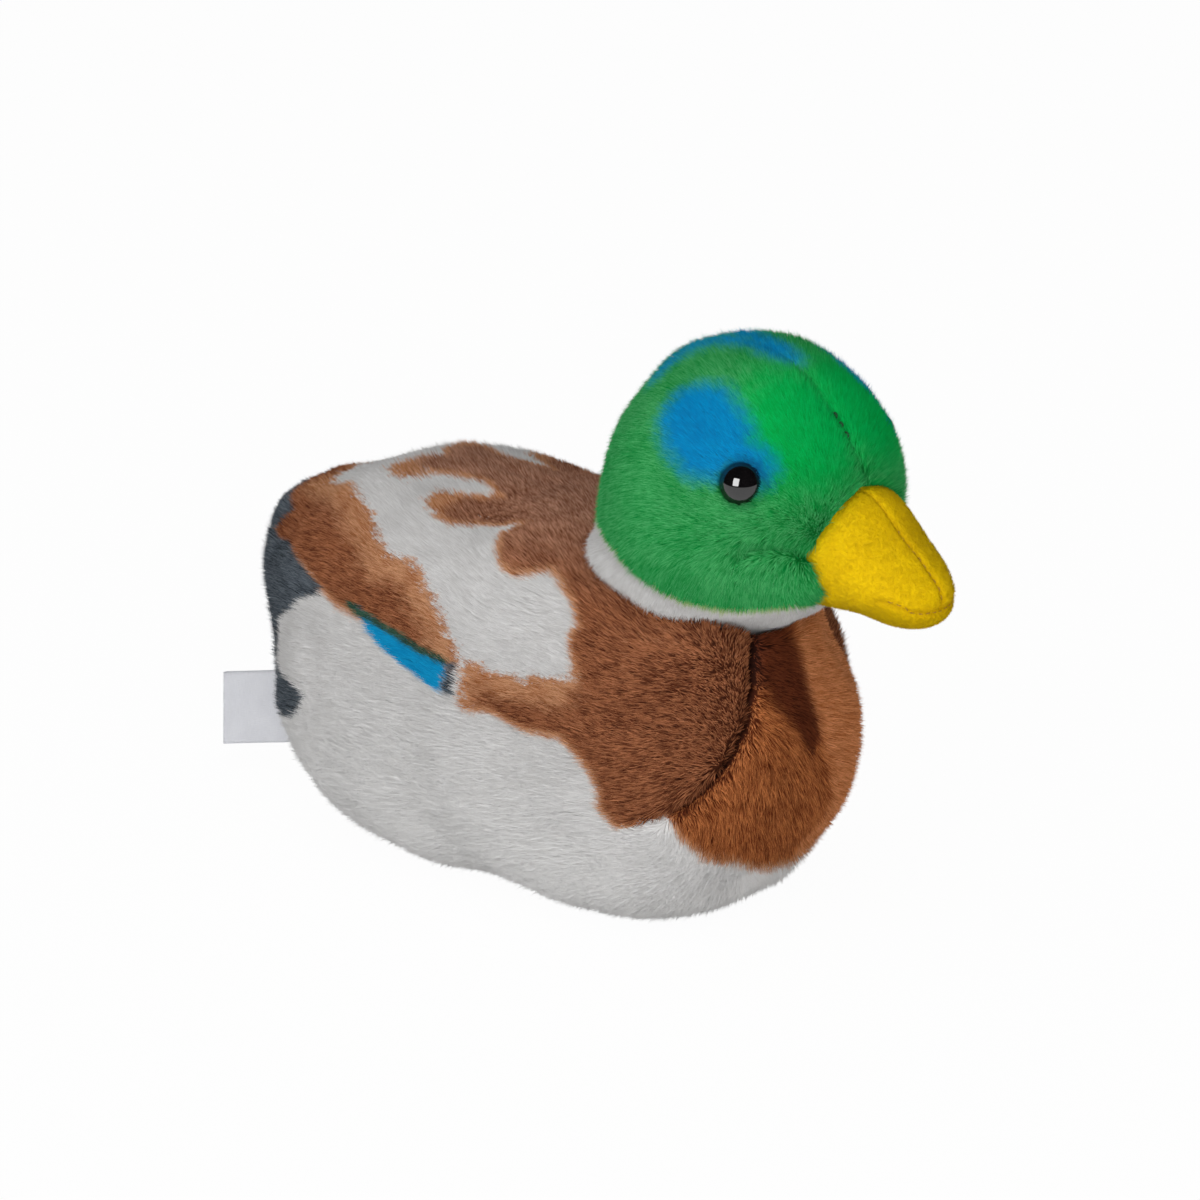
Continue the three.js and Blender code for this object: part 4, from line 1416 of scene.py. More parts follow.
    def build(self) -> None:
        """Builds the panels and their pile, and rides them on the body."""
        whole = self.outside()
        whole = whole.cut(from_head(whole.points) - self.socket)[0]
        behind, gusset = whole.cut(whole.values["level"])
        finish = PlushFinish()
        side_look = finish.made("printed_back_plush", False)
        chest_look = finish.made("printed_chest_plush", True)
        for side in Side:
            panel = behind.cut(behind.points[:, 1] * side.value - self.seam_gap)[0]
            panel.drop("chest", "strip", "pale", "level")
            furred(f"side_{side.word}", f"body_side_{side.word}", panel, self.fabric, self.naps,
                   self.side_comb, self.bare, side_look, "body")
        gusset.values["brown"] = gusset.values.pop("chest")
        gusset.drop("soft", "charcoal", "blue", "bar", "rim", "level")
        furred("gusset", "chest_belly_gusset", gusset, self.fabric, self.naps, self.gusset_comb, self.bare,
               chest_look, "body")

    def holds(self, points: Array, depth: float) -> Array:
        """Which points lie inside the body's form, drawn in by a depth."""
        top, bottom, half = across(self.loft(depth).rows(SECTIONS), points[:, 0])
        middle = bottom + self.waist * (top - bottom)
        rise = points[:, 2] - middle
        upper = rise > 0
        power = np.where(upper, self.back_roundness, self.belly_roundness)
        reach = np.maximum(np.where(upper, top - middle, middle - bottom), TINY)
        return (np.abs(points[:, 1]) / np.maximum(half, TINY)) ** power + (np.abs(rise) / reach) ** power < 1


@dataclass
class Bill:
    """The felt bill: two upper panels, a lower one, and the thread of its seams."""

    rings: int = 110
    columns: int = 128
    waist: float = 0.5
    roundness: float = 2.0
    fabric: float = 0.9
    seam_gap: float = 0.12
    nap: Nap = Nap(12000, length=0.75, width=0.12, lift=38, stray=90, clump=30, pull=0.1, soft=0.85)
    fuzz_way: Point = (-1.0, 0.0, 0.2)
    # The seam along the sides and across the tip: place ahead of the head's centre, and height below it
    lower_seam: Table = (
        (12, -21), (27, -19.5), (33, -17), (37, -13.6), (39.4, -12.3), (42.7, -13.2), (46.6, -15.2),
        (50, -16),
    )
    # How far the felt lies inside the form, the seams' grooves, and where the lower one begins to show
    sunk: float = 0.5
    top_groove: Mark = Mark(0.4, 0.8)
    tip_groove: Mark = Mark(0.45, 0.8)
    # The creases along the seams, where the felt is darkened with painted shade and its fuzz is trimmed
    crease: Mark = Mark(1.0, 0.6)
    crease_trim: float = 0.7
    swell: Wave = Wave(0.2, 15, 21)
    tip_from: Span = (83.5, 88.0)
    moves: tuple[Push, ...] = (
        ((78, 4, 70), 8, (0, 0, 0.7)), ((72, 13, 77), 7, (0, -0.2, 0.1)), ((93, 0, 74), 5, (0.8, 0, 0.3)),
        ((86, 3, 86), 9, (-0.2, 0, -0.5)),
    )
    # Where the stitches show: height of the top seam and place of the tip's, from the head's centre
    top_stitches: float = -17.0
    tip_stitches: float = 40.5
    stitch_pitch: float = 1.7
    thread: float = 0.26

    def loft(self) -> Loft:
        """The bill's form."""
        rows = [(along * BILL_REACH, top * BILL_DEPTH - BILL_DROP / 2, bottom * BILL_DEPTH - BILL_DROP / 2,
                 half * BILL_WIDTH) for along, top, bottom, half in BILL_SECTION_SHARES]
        return Loft(np.array(rows) + HEAD_CENTRE[[0, 2, 2, 1]], self.waist, self.roundness, self.roundness)

    def level(self, points: Array) -> Array:
        """How far points lie above the lower seam."""
        return points[:, 2] - HEAD_CENTRE[2] - by_table(points[:, 0] - HEAD_CENTRE[0], self.lower_seam)

    def holds(self, points: Array, spare: float) -> Array:
        """Which points lie inside the bill's form, made larger by a distance."""
        top, bottom, half = across(self.loft().rows(SECTIONS), points[:, 0])
        middle, reach = (top + bottom) / 2, np.maximum((top - bottom) / 2 + spare, TINY)
        wide = np.maximum(half + spare, TINY)
        return ((points[:, 1] / wide) ** 2 + ((points[:, 2] - middle) / reach) ** 2 < 1) & (half > 0)

    def outside(self) -> tuple[Surface, Array, Array]:
        """The bill's whole outside, with its creases, and points along its two seams."""
        surface = closed(self.loft().grid(self.rings, self.columns), {})
        points, normals = surface.points, surface.normals()
        level = self.level(points)
        lower, upper = surface.crossings(level), surface.crossings(points[:, 1] - 1e-4)
        upper = upper[self.level(upper) > 0]
        lower_away, upper_away = nearest(points, lower)[0], nearest(points, upper)[0]
        ahead = smooth_step(points[:, 0], *self.tip_from)
        sink = self.sunk + self.top_groove.at(upper_away) + self.tip_groove.at(lower_away) * ahead
        out = self.swell.at(points) - sink
        surface.points = shaped(points + normals * out[:, None], self.moves)
        # The seams' creases: painted shade in the felt, and shorter fuzz
        crease = np.maximum(self.crease.at(upper_away), self.crease.at(lower_away) * ahead)
        trim, plain = 1 - self.crease_trim * crease, np.zeros(len(crease))
        surface.values = {"crease": crease, "level": level, "trim": trim, "calm": plain, "stand": plain}
        return surface, upper, lower

    def stitches(self, name: str, line: Array, normals: Array, pitch: float, thick: float,
                 material: Material) -> None:
        """Sews thread along a line on the head's body.

        Args:
            name: the piece's name.
            line: points in order along the seam.
            normals: the outward direction at each point.
            pitch: how far apart the stitches start.
            thick: the thread's thickness.
            material: its material.
        """
        way = np.concatenate([[0], np.cumsum(np.linalg.norm(np.diff(line, axis=0), axis=1))])
        points, faces = [], []
        sides, steps = 6, 5
        for start in np.arange(pitch * 0.3, way[-1] - pitch, pitch):
            place = start + np.linspace(0, pitch * 0.62, steps)
            at = np.stack([np.interp(place, way, line[:, k]) for k in range(3)], 1)
            out = unit(np.stack([np.interp(place, way, normals[:, k]) for k in range(3)], 1))
            bow = np.sin(np.linspace(0, math.pi, steps))[:, None]
            at = at + out * (bow * thick * 0.9 - thick * 0.25)
            ahead = unit(np.gradient(at, axis=0))
            side = unit(np.cross(ahead, out))
            over = np.cross(side, ahead)
            first = len(points)
            for step in range(steps):
                size = thick / 2 * (0.55 if step in (0, steps - 1) else 1.0)
                for k in range(sides):
                    angle = 2 * math.pi * k / sides
                    ray = side[step] * math.cos(angle) + over[step] * math.sin(angle)
                    points.append(at[step] + ray * size)
            for step in range(steps - 1):
                for k in range(sides):
                    a, b = first + step * sides + k, first + step * sides + (k + 1) % sides
                    faces.append((a, b, b + sides, a + sides))
            faces.append(tuple(first + k for k in range(sides))[::-1])
            faces.append(tuple(first + (steps - 1) * sides + k for k in range(sides)))
        new_object(name, new_mesh(name, np.array(points), faces), material, "head")

    def build(self) -> None:
        """Builds the panels, their fuzz and the stitches, and rides them on the head."""
        whole, top_seam, low_seam = self.outside()
        look = FeltFinish().made("yellow_felt")
        above, below = whole.cut(whole.values["level"])
        parts = {"bill_lower": below}
        for side in Side:
            half = above.cut(above.points[:, 1] * side.value - self.seam_gap / 2)[0]
            parts[f"bill_upper_{side.word}"] = half
        for node, part in parts.items():
            part.drop("level")
            padded_skin(f"felt_{node}", node, part, self.fabric, look, "head")
            grow(f"fuzz_{node}", part, self.nap, self.comb, self.bare, look, "head")
        top_seam = top_seam[top_seam[:, 2] > HEAD_CENTRE[2] + self.top_stitches]
        top_seam = top_seam[np.argsort(top_seam[:, 0] * 0.7 - top_seam[:, 2] * 0.7)]
        low_seam = low_seam[low_seam[:, 0] > HEAD_CENTRE[0] + self.tip_stitches]
        low_seam = low_seam[np.argsort(low_seam[:, 1])]
        thread = PlainFinish(srgb(168, 120, 0), srgb(200, 148, 2), 3.0, 0.7).made("bill_thread")
        normals = whole.normals()
        for name, seam in (("bill_top_stitches", top_seam), ("bill_tip_stitches", low_seam)):
            at = nearest(seam, whole.points)[1]
            line = smoothed(whole.points[at], 4)
            shows = from_head(line) > HEAD_RADIUS
            self.stitches(name, line[shows], normals[at][shows], self.stitch_pitch, self.thread, thread)

    def bare(self, points: Array) -> Array:
        """Which points lie outside the head's ball, or just under its surface."""
        return from_head(points) > HEAD_RADIUS - 1

    def comb(self, points: Array, normals: Array) -> Array:
        """Felt has no nap, so its fuzz only leans back a little."""
        return np.tile(self.fuzz_way, (len(points), 1))


@dataclass
class Head:
    """The head ball: two halves with a seam over the crown, a dart at each cheek, and the pile."""

    fineness: int = 7
    depth: float = 0.8
    fabric: float = 0.8
    seam_gap: float = 0.15
    naps: tuple[Nap, Nap] = (Nap(66000, length=3.1, width=0.38, clump=14),
                             Nap(66000, length=3.5, width=0.24, stray=20))
    hidden: float = 8.0

    # The flatter forehead: how deep and how high up in degrees, and how far it reaches around and upwards
    flat: float = 1.5
    flat_height: float = 44.0
    flat_spread: Span = (42.0, 20.0)
    # The collar stands out behind, and its upper edge is given as degrees from the front and height against
    # the head's centre
    flare: float = 1.8
    collar_edge: Table = (
        (0, -20), (14, -19), (31, -17.4), (49, -17.6), (67, -17.6), (84, -16.4), (99, -13.8), (112, -10.4),
        (125, -8.4), (140, -7.4), (180, -6.5),
    )
    collar_slant: float = 1.1
    # The crown seam's groove behind, and what is added to it in front, then a broader dip beside it in front
    seam_groove: Mark = Mark(0.35, 1.5)
    seam_groove_ahead: Mark = Mark(0.85, 1.5)
    seam_dip: Mark = Mark(0.35, 4.5)
    behind_from: Span = (-6.0, 10.0)
    front_from: Span = (-6.0, 12.0)
    flare_rise: Span = (0.0, 3.5)
    swell: Wave = Wave(0.35, 22, 31)
    # The dart from the bill's corner over the cheek: a line on the right side, with the depth and width of
    # its groove and of the dip around it
    dart: Line = ((73, -12, 81), (71.1, -15.6, 83.6), (68.8, -18.8, 84.6), (66.4, -21.3, 84.3),
                  (64.4, -22.8, 83.5))
    dart_grooves: tuple[Mark, Mark] = (Mark(1.9, 1.2), Mark(0.8, 3.0))
    # The eyes: where they look, how far out they sit, and the dent and bare ring that they make in the pile
    eye_azimuth: float = 56.0
    eye_elevation: float = 19.4
    eye_seat: float = 28.3
    eye_dent: Mark = Mark(0.9, 5.5)
    eye_bare: float = 4.3
    moves: tuple[Push, ...] = (
        ((26, 10, 102), 20, (2.1, -0.7, -1.2)), ((57, 17, 109), 11, (-0.4, -0.5, -0.6)),
        ((48, 6, 118), 12, (0, 0, -0.5)), ((69, 6, 67), 9, (-0.9, 0, 2.0)),
        ((55, 13, 63), 11, (-0.4, -0.4, 1.5)), ((28, 21, 72), 8, (-2.4, 2.0, 0)),
        ((72.5, 13, 74), 6.5, (3.8, 1.8, 0)),
    )
    uneven: tuple[Push, ...] = (((64, 21, 99.5), 8, (0.7, 0.9, 0.4)),)

    # The blue patches, as lines on the right side and how far the blue reaches from each
    blue_lines: tuple[tuple[tuple[Point, ...], float], ...] = (
        (((51, -21.5, 107.5), (54.5, -22.3, 105)), 8.2), (((60, -20.8, 102.6), (63.2, -19.6, 100)), 3.8),
        (((32, -12, 111.5), (38, -5, 116.5), (46, -2, 118), (55, -1.5, 117)), 2.6),
    )
    # Where the pile is brushed smooth, how far that reaches, and the chin, whose fur hangs forward
    calm_place: Point = (66.0, -9.0, 106.0)
    calm_reach: Span = (5.0, 22.0)
    calm_share: float = 0.8
    chin: Point = (72.0, -12.0, 75.0)
    chin_fur: Mark = Mark(0.35, 5.0)
    chin_turn: Mark = Mark(1.0, 6.0)
    # Where the pile is trimmed: along the crown's seam, mostly in front, in the dart, round the eyes, and on
    # the collar in front
    seam_trim: Mark = Mark(0.35, 1.4)
    seam_trim_behind: float = 0.3
    dart_trim: Mark = Mark(0.6, 1.2)
    eye_trim: Mark = Mark(0.35, 1.6, off=4.0)
    collar_trim: float = 0.5
    collar_rise: Span = (-0.5, 2.5)
    collar_calm: Span = (-1.0, 1.0)
    # Where painted shade darkens it, round the eyes and in the dart, and where it stands up: round the eyes
    # and beside the bill
    lash: Mark = Mark(0.35, 1.0, off=4.2)
    dart_shade: Mark = Mark(0.8, 0.9)
    eye_stand: Mark = Mark(0.5, 1.2, off=4.3)
    bill_stand: float = 0.35
    bill_reach: Span = (0.5, 3.5)

    # Ways in which the pile is combed: on top, behind, down the cheeks, and forwards at the chin
    top_way: Point = (-1.0, 0.0, 0.3)
    nape_way: Point = (-0.5, 0.0, -0.9)
    cheek_way: Point = (-0.35, 0.0, -1.0)
    chin_way: Point = (1.0, 0.0, -0.35)
    wave_way: Point = (0.4, 0.0, 0.6)
    wave: Wave = Wave(0.25, 17, 41)
    top_tilt: Span = (-0.75, 0.35)
    cheek_top: Span = (-13.0, 2.0)

    seam_stitches: Span = (44.0, 25.0)
    stitch_pitch: float = 2.2
    thread: float = 0.5

    def eye_way(self, side: Side) -> Array:
        """The direction in which an eye looks."""
        around, up = math.radians(self.eye_azimuth), math.radians(self.eye_elevation)
        aside = side.value * math.cos(up) * math.sin(around)
        return np.array((math.cos(up) * math.cos(around), aside, math.sin(up)))

    def off_eyes(self, ways: Array) -> Array:
        """The angle between some directions and that of the eye nearest to each."""
        return np.min([np.arccos(np.clip(ways @ self.eye_way(side), -1, 1)) for side in Side], axis=0)

    def ball(self, bill_points: Array) -> Surface:
        """The head's ball with its flatter forehead, creases and dents, and the distances of its print.

        Args:
            bill_points: points on the bill, beside which the pile stands up.

        Returns:
            The ball.
        """
        shape = bmesh.new()
        bmesh.ops.create_icosphere(shape, subdivisions=self.fineness, radius=1.0)
        ways = unit(np.array([v.co for v in shape.verts]))
        faces = np.array([[v.index for v in face.verts] for face in shape.faces])
        shape.free()
        radius = HEAD_RADIUS - self.depth
        points = ways * radius
        points[points[:, 2] > 0, 2] *= (radius + CROWN_RISE) / radius
        right = folded(points + HEAD_CENTRE, Side.RIGHT)
        around = np.degrees(np.arctan2(np.abs(ways[:, 1]), ways[:, 0]))
        height = np.degrees(np.arcsin(ways[:, 2]))
        white = (by_table(around, self.collar_edge) - points[:, 2]) * self.collar_slant
        behind = 1 - smooth_step(points[:, 0], *self.behind_from)
        front = smooth_step(points[:, 0], *self.front_from)
        dart_away = nearest(right, drawn_out(self.dart))[0]
        eye_away = self.off_eyes(ways) * HEAD_RADIUS

        wide, tall = self.flat_spread
        change = -self.flat * bell(around, wide) * bell(height - self.flat_height, tall)
        change += self.swell.at(points)
        change += self.flare * smooth_step(white, *self.flare_rise) * behind
        change -= self.seam_groove.at(points[:, 1]) + self.seam_groove_ahead.at(points[:, 1]) * front
        change -= self.seam_dip.at(points[:, 1]) * front
        change -= sum(groove.at(dart_away) for groove in self.dart_grooves) + self.eye_dent.at(eye_away)
        at = shaped(points + HEAD_CENTRE + ways * change[:, None], self.moves, self.uneven)

        blue = [reach - nearest(right, drawn_out(line))[0] for line, reach in self.blue_lines]
        along_seam = self.seam_trim_behind + (1 - self.seam_trim_behind) * front
        trim = 1 - self.seam_trim.at(points[:, 1]) * along_seam - self.dart_trim.at(dart_away)
        trim -= self.eye_trim.at(eye_away)
        trim *= 1 - self.collar_trim * smooth_step(white, *self.collar_rise) * (1 - behind)
        trim += self.chin_fur.at(np.linalg.norm(right - self.chin, axis=1))
        calm = 1 - smooth_step(np.linalg.norm(right - self.calm_place, axis=1), *self.calm_reach)
        beside_bill = 1 - smooth_step(nearest(at, bill_points)[0], *self.bill_reach)
        return Surface(at, faces, {
            "blue": np.max(blue, axis=0),
            "white": white,
            "trim": trim,
            # Painted shade round the eyes and in the dart
            "lash": np.maximum(self.lash.at(eye_away), self.dart_shade.at(dart_away)),
            "frost": 1 - calm,
            "calm": np.maximum(calm * self.calm_share, smooth_step(white, *self.collar_calm)),
            "stand": np.maximum(self.bill_stand * beside_bill, self.eye_stand.at(eye_away)),
        })

    def comb(self, points: Array, normals: Array) -> Array:
        """The pile is brushed back from the bill on top, and downwards behind and over the cheeks."""
        ahead = smooth_step(normals[:, 0], *self.top_tilt)[:, None]
        upper = np.array(self.top_way) * ahead + np.array(self.nape_way) * (1 - ahead)
        low = 1 - smooth_step(points[:, 2] - HEAD_CENTRE[2], *self.cheek_top)[:, None]
        wave = self.wave.at(points)[:, None] * np.array(self.wave_way)
        off_chin = np.linalg.norm(folded(points, Side.RIGHT) - self.chin, axis=1)
        chin = self.chin_turn.at(off_chin)[:, None]
        low_way = np.array(self.cheek_way) * (1 - chin) + np.array(self.chin_way) * chin
        return upper * (1 - low) + low_way * low + wave

    def crown_stitches(self, bill: Bill) -> None:
        """Sews the few stitches that show in the seam over the forehead."""
        top, bottom = self.seam_stitches
        turn = np.radians(np.linspace(top, bottom, 60))
        sunk = 1 - 0.045 * bell(np.degrees(turn) - self.flat_height, self.flat_spread[1])
        reach = HEAD_RADIUS - self.depth + 0.4
        line = np.stack([np.cos(turn) * reach * sunk, np.zeros(60), np.sin(turn) * reach * sunk * 1.045], 1)
        thread = PlainFinish(srgb(0, 58, 26), srgb(6, 84, 38), 3.0, 0.8).made("head_thread")
        bill.stitches("head_seam_stitches", line + HEAD_CENTRE, unit(line), self.stitch_pitch, self.thread,
                      thread)

    def build(self, body: Body, bill: Bill) -> None:
        """Builds the halves and their pile, and rides them on the head.

        Args:
            body: the body, which hides the pile inside it.
            bill: the bill, under which no pile grows.
        """
        ball = self.ball(bill.outside()[0].points)
        look = HeadFinish().made("printed_head_plush")

        def shows(points: Array) -> Array:
            off_eye = self.off_eyes(unit(points - HEAD_CENTRE)) * HEAD_RADIUS > self.eye_bare
            return ~body.holds(points, self.hidden) & ~bill.holds(points, -0.6) & off_eye

        for side in Side:
            half = ball.cut(ball.points[:, 1] * side.value - self.seam_gap)[0]
            furred(f"head_{side.word}", f"head_side_{side.word}", half, self.fabric, self.naps, self.comb,
                   shows, look, "head")
        self.crown_stitches(bill)


@dataclass
class Eyes:
    """Two glossy domes with their shanks."""

    radius: float = 4.1
    height: float = 3.2
    rim: float = 0.35
    shank: float = 1.3
    shank_depth: float = 7.0
    shank_root: float = 0.5
    shank_tip: float = 0.4
    turns: int = 96
    rings: int = 29
    far_sunk: float = 0.5

    def profile(self) -> list[tuple[float, float]]:
        """Radius and height over the seat, from the top of the dome down to the end of the shank."""
        curve = (self.radius ** 2 + self.height ** 2) / (2 * self.height)
        widest = math.asin(min(1.0, self.radius / curve))
        line = []
        for angle in np.linspace(0, widest, self.rings):
            line.append((curve * math.sin(angle), self.height - curve + curve * math.cos(angle)))
        root, tip = self.shank_root, self.shank_tip
        return line + [
            (self.radius, -self.rim * 0.6), (self.radius - self.rim * 0.5, -self.rim),
            (self.shank + root, -self.rim), (self.shank, -self.rim - root),
            (self.shank, -self.shank_depth + tip), (self.shank - tip, -self.shank_depth),
            (0.0, -self.shank_depth),
        ]

    def build(self, head: Head) -> None:
        """Builds both eyes, seated in the head's fabric."""
        look = EyeFinish().made("polished_black")
        line = np.array(self.profile())
        turn = np.linspace(0, 2 * math.pi, self.turns, endpoint=False)
        for side in Side:
            way = head.eye_way(side)
            aside = unit(np.cross(UP, way))
            up = np.cross(way, aside)
            seat = head.eye_seat if side is Side.RIGHT else head.eye_seat - self.far_sunk
            ring = aside * np.cos(turn)[None, :, None] + up * np.sin(turn)[None, :, None]
            grid = way * line[:, None, 1:] + ring * line[:, None, :1] + way * seat + HEAD_CENTRE
            surface = closed(grid, {})
            name = f"safety_eye_{side.word}"
            mesh = new_mesh(name, surface.points, surface.faces)
            piece = new_object(name, mesh, look, "head")
            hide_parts(f"eye_{side.word}")


@dataclass
class CareLabel:
    """The bare ribbon loop in the rear seam."""

    root: Point = (-57.307, 0.0, 19.0)
    length: float = 34.2
    height: float = 14.3
    ply: float = 0.22
    droop: float = 13.5
    # The loop at the fold: its half width, how far from the seam it opens to that, and how the plies waver
    loop: float = 0.42
    opening: float = 9.0
    waver: float = 0.12
    waver_length: float = 5.0
    # How the ribbon leans aside towards its end, and turns about its length up to a share of that
    curl: float = 0.6
    curl_power: float = 1.6
    roll: float = 0.29
    roll_end: float = 0.55
    flex: float = 7.0
    start: float = 0.3
    steps: int = 60
    fold_steps: int = 9
    rows: int = 24

    def build(self) -> None:
        """Builds the ribbon, which droops from the body's seam and folds back on itself in a loop."""
        droop = math.radians(self.droop)
        ahead = np.array((-math.cos(droop), 0.0, -math.sin(droop)))
        up = np.array((-math.sin(droop), 0.0, math.cos(droop)))
        run = self.length - self.loop
        out = np.linspace(self.start, run, self.steps)
        bend = np.linspace(0, math.pi, self.fold_steps)[1:-1]
        along = np.concatenate([out, run + self.loop * np.sin(bend), out[::-1]])
        gap = self.loop * (0.5 + 0.5 * smooth_step(out, 0, self.opening))
        gap = gap + self.waver * np.sin(out / self.waver_length)
        apart = np.concatenate([-gap, -self.loop * np.cos(bend), gap[::-1]])
        way = np.concatenate([[0], np.cumsum(np.hypot(np.diff(along), np.diff(apart)))])
        tall = np.linspace(-self.height / 2, self.height / 2, self.rows)
        share = along / self.length
        lean = -self.curl * share ** self.curl_power
        points = np.empty((len(along), self.rows, 3))
        for k, level in enumerate(tall):
            points[:, k] = np.array(self.root) + np.outer(along, ahead) + level * up
            points[:, k, 1] += apart + lean + self.roll * level * smooth_step(share, 0.0, self.roll_end)
        cloth = np.stack(np.meshgrid(way, tall, indexing="ij") + [np.zeros((len(way), self.rows))], -1)
        number = np.arange(points.shape[0] * self.rows).reshape(-1, self.rows)
        corners = number[:-1, :-1], number[1:, :-1], number[1:, 1:], number[:-1, 1:]
        faces = np.stack(corners, -1).reshape(-1, 4)
        mesh = new_mesh("care_ribbon", points.reshape(-1, 3), faces, {"cloth": cloth.reshape(-1, 3)})
        piece = new_object("care_ribbon", mesh, SatinFinish().made("white_satin"), None)
        thick = piece.modifiers.new("ply", "SOLIDIFY")
        thick.thickness = self.ply * MM
        thick.offset = 0
        settled(piece)
        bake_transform(piece)
        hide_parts("care_label")


@dataclass
class Stuffing:
    """What lies inside: fibre stuffing and the eyes' washers, which keep the frame's own meshes."""

    fibre: tuple[str, ...] = ("body_filling", "head_filling", "neck_filling", "bill_filling")
    washers: tuple[str, ...] = ("eye_washer_left", "eye_washer_right")

    def build(self) -> None:
        """Dresses the frame's nodes."""
        fibre = PlainFinish(srgb(226, 224, 218), srgb(246, 245, 240), 0.6, 0.95).made("stuffing_fibre")
        plastic = PlainFinish(srgb(226, 224, 216), srgb(236, 235, 228), 2.0, 0.5).made("washer_plastic")
        for names, look in ((self.fibre, fibre), (self.washers, plastic)):
            for name in names:
                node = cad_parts[name]
                node.data.materials.clear()
                node.data.materials.append(look)
                log.info("%s: dressed", name)


@dataclass(frozen=True)
class Lamp:
    """A soft lamp that lights a white surface that faces it to a level."""

    name: str
    way: Point
    distance: float
    size: Span
    level: float
    in_gloss: bool = False
    in_diffuse: bool = True


KEY = Lamp("key", (0.154, -0.889, 0.430), 1150.0, (620.0, 780.0), 0.32, in_gloss=True)
GLINT = 2.8
LAMPS = (
    KEY,
    # Only gloss sees this card, which makes the key's spot on the eyes brighter
    Lamp("glint", KEY.way, KEY.distance - 5, KEY.size, KEY.level * GLINT, in_gloss=True, in_diffuse=False),
    Lamp("fill", (0.75, -0.6, 0.24), 1400.0, (700.0, 700.0), 0.29),
    Lamp("top", (0.05, -0.25, 1.0), 1500.0, (1100.0, 1100.0), 0.26),
)


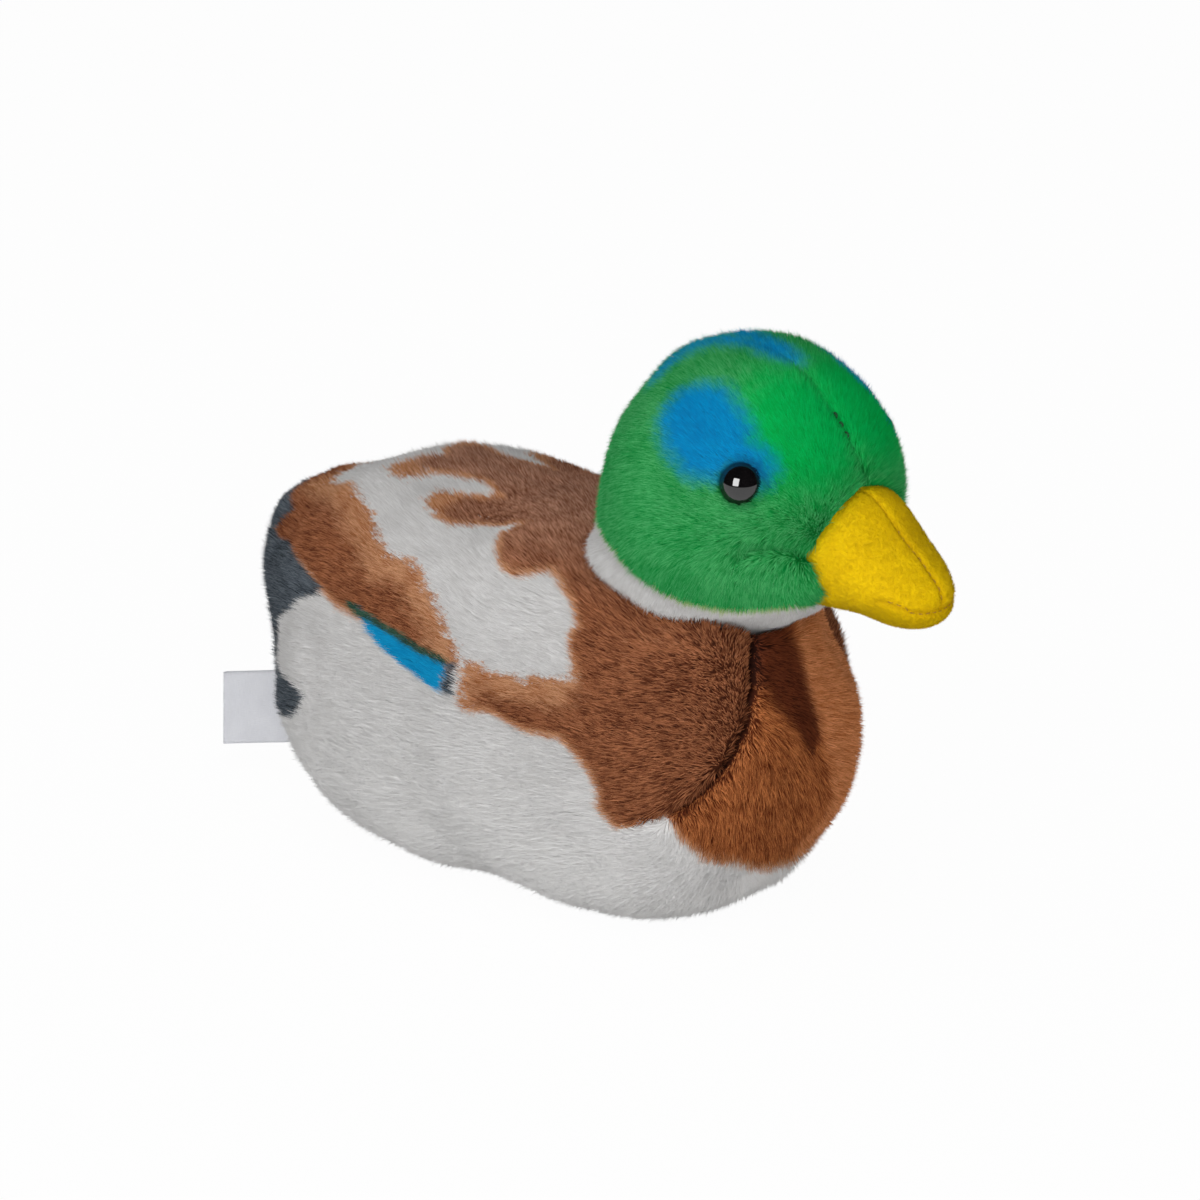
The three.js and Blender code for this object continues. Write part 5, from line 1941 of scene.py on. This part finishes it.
@dataclass
class Studio:
    """The camera at the photograph's angle, the pale floor and the soft light."""

    aim: Point = (4.1, 7.0, 53.2)
    azimuth: float = 39.0
    elevation: float = 19.0
    distance: float = 1500.0
    focal: float = 225.0
    sensor: float = 36.0
    clip_end: float = 50.0
    lamp_aim: Point = (15.0, 0.0, 60.0)
    # The sky's level below and above, and the heights between which it changes
    horizon: float = 1.04
    zenith: float = 0.2
    sky_climb: Span = (0.08, 0.42)
    # The floor: its side, its greys, and how white it looks to the camera and in gloss
    floor_side: float = 9000.0
    greys: Span = (0.89, 0.91)
    glow: float = 0.97

    def turned(self, back: Array) -> Matrix:
        """The rotation that looks against a direction with up as near to Z as it can be."""
        aside = unit(np.cross(UP, back))
        return Matrix(np.stack([aside, np.cross(back, aside), back], 1).tolist()).to_4x4()

    def put(self, name: str, data: bpy.types.ID, aim: Point, back: Array,
            distance: float) -> bpy.types.Object:
        """Adds a camera or lamp that looks at a point from a direction and distance."""
        piece = bpy.data.objects.new(name, data)
        bpy.context.scene.collection.objects.link(piece)
        place = Vector((np.array(aim) + back * distance) * MM)
        piece.matrix_world = Matrix.Translation(place) @ self.turned(back)
        return piece

    def lens(self) -> None:
        """Adds the camera."""
        around, up = math.radians(self.azimuth), math.radians(self.elevation)
        back = np.array((math.sin(around) * math.cos(up), -math.cos(around) * math.cos(up), math.sin(up)))
        data = bpy.data.cameras.new("camera")
        data.lens, data.sensor_width, data.clip_end = self.focal, self.sensor, self.clip_end
        bpy.context.scene.camera = self.put("camera", data, self.aim, back, self.distance)

    def light(self, lamp: Lamp) -> None:
        """Adds a lamp."""
        data = bpy.data.lights.new(lamp.name, "AREA")
        data.shape = "RECTANGLE"
        data.size, data.size_y = lamp.size[0] * MM, lamp.size[1] * MM
        data.energy = lamp.level * math.pi ** 2 * (lamp.distance * MM) ** 2
        piece = self.put(lamp.name, data, self.lamp_aim, unit(np.array(lamp.way)), lamp.distance)
        piece.visible_glossy, piece.visible_diffuse = lamp.in_gloss, lamp.in_diffuse

    def sky(self) -> None:
        """Adds a world that is bright near the horizon and darker above."""
        world = bpy.data.worlds.new("studio")
        world.use_nodes = True
        shader = Shader.__new__(Shader)
        shader.tree = world.node_tree
        height = shader.node("ShaderNodeTexCoord", {}, {}, "Generated").part("Z")
        level = shader.mix(height.climb(*self.sky_climb), grey(self.horizon), grey(self.zenith))
        shader.tree.links.new(level.out, world.node_tree.nodes["Background"].inputs["Color"])
        world.cycles_visibility.glossy = False
        bpy.context.scene.world = world

    def floor(self) -> None:
        """Adds the floor, which takes the duck's shadow but is nearly white to the camera and in gloss."""
        shader = Shader("pale_floor")
        at = shader.node("ShaderNodeTexCoord", {}, {}, "Object")
        tone = (shader.noise(at, 3.0) * 0.5 + 0.5).climb(0.0, 1.0)
        lit = shader.node("ShaderNodeBsdfDiffuse", {}, {"Color": shader.mix(tone, *map(grey, self.greys))})
        bright = shader.node("ShaderNodeEmission", {}, {"Color": (1, 1, 1, 1), "Strength": 1.0})
        rays = ("Is Camera Ray", "Is Glossy Ray", "Is Transmission Ray")
        camera, gloss, through = (shader.node("ShaderNodeLightPath", {}, {}, ray) for ray in rays)
        seen = (camera + gloss + through) * self.glow
        shader.node_out(shader.node("ShaderNodeMixShader", {}, {"Fac": seen, 1: lit, 2: bright}))
        half = self.floor_side / 2
        corners = np.array(((-half, -half, 0), (half, -half, 0), (half, half, 0), (-half, half, 0)))
        floor = new_object("floor", new_mesh("floor", corners, [(0, 1, 2, 3)]), shader.material, None)

    def build(self) -> None:
        """Adds camera, world, lamps and floor."""
        bpy.context.scene.view_settings.view_transform = "Standard"
        self.lens()
        self.sky()
        for lamp in LAMPS:
            self.light(lamp)
        self.floor()


def main() -> None:
    """Builds the duck and its studio, and reports each piece."""
    logging.basicConfig(level=logging.INFO, format="%(name)s: %(message)s")
    body, bill, head = Body(), Bill(), Head()
    body.build()
    bill.build()
    head.build(body, bill)
    Eyes().build(head)
    CareLabel().build()
    Stuffing().build()
    Studio().build()


if __name__ == "__main__":
    main()
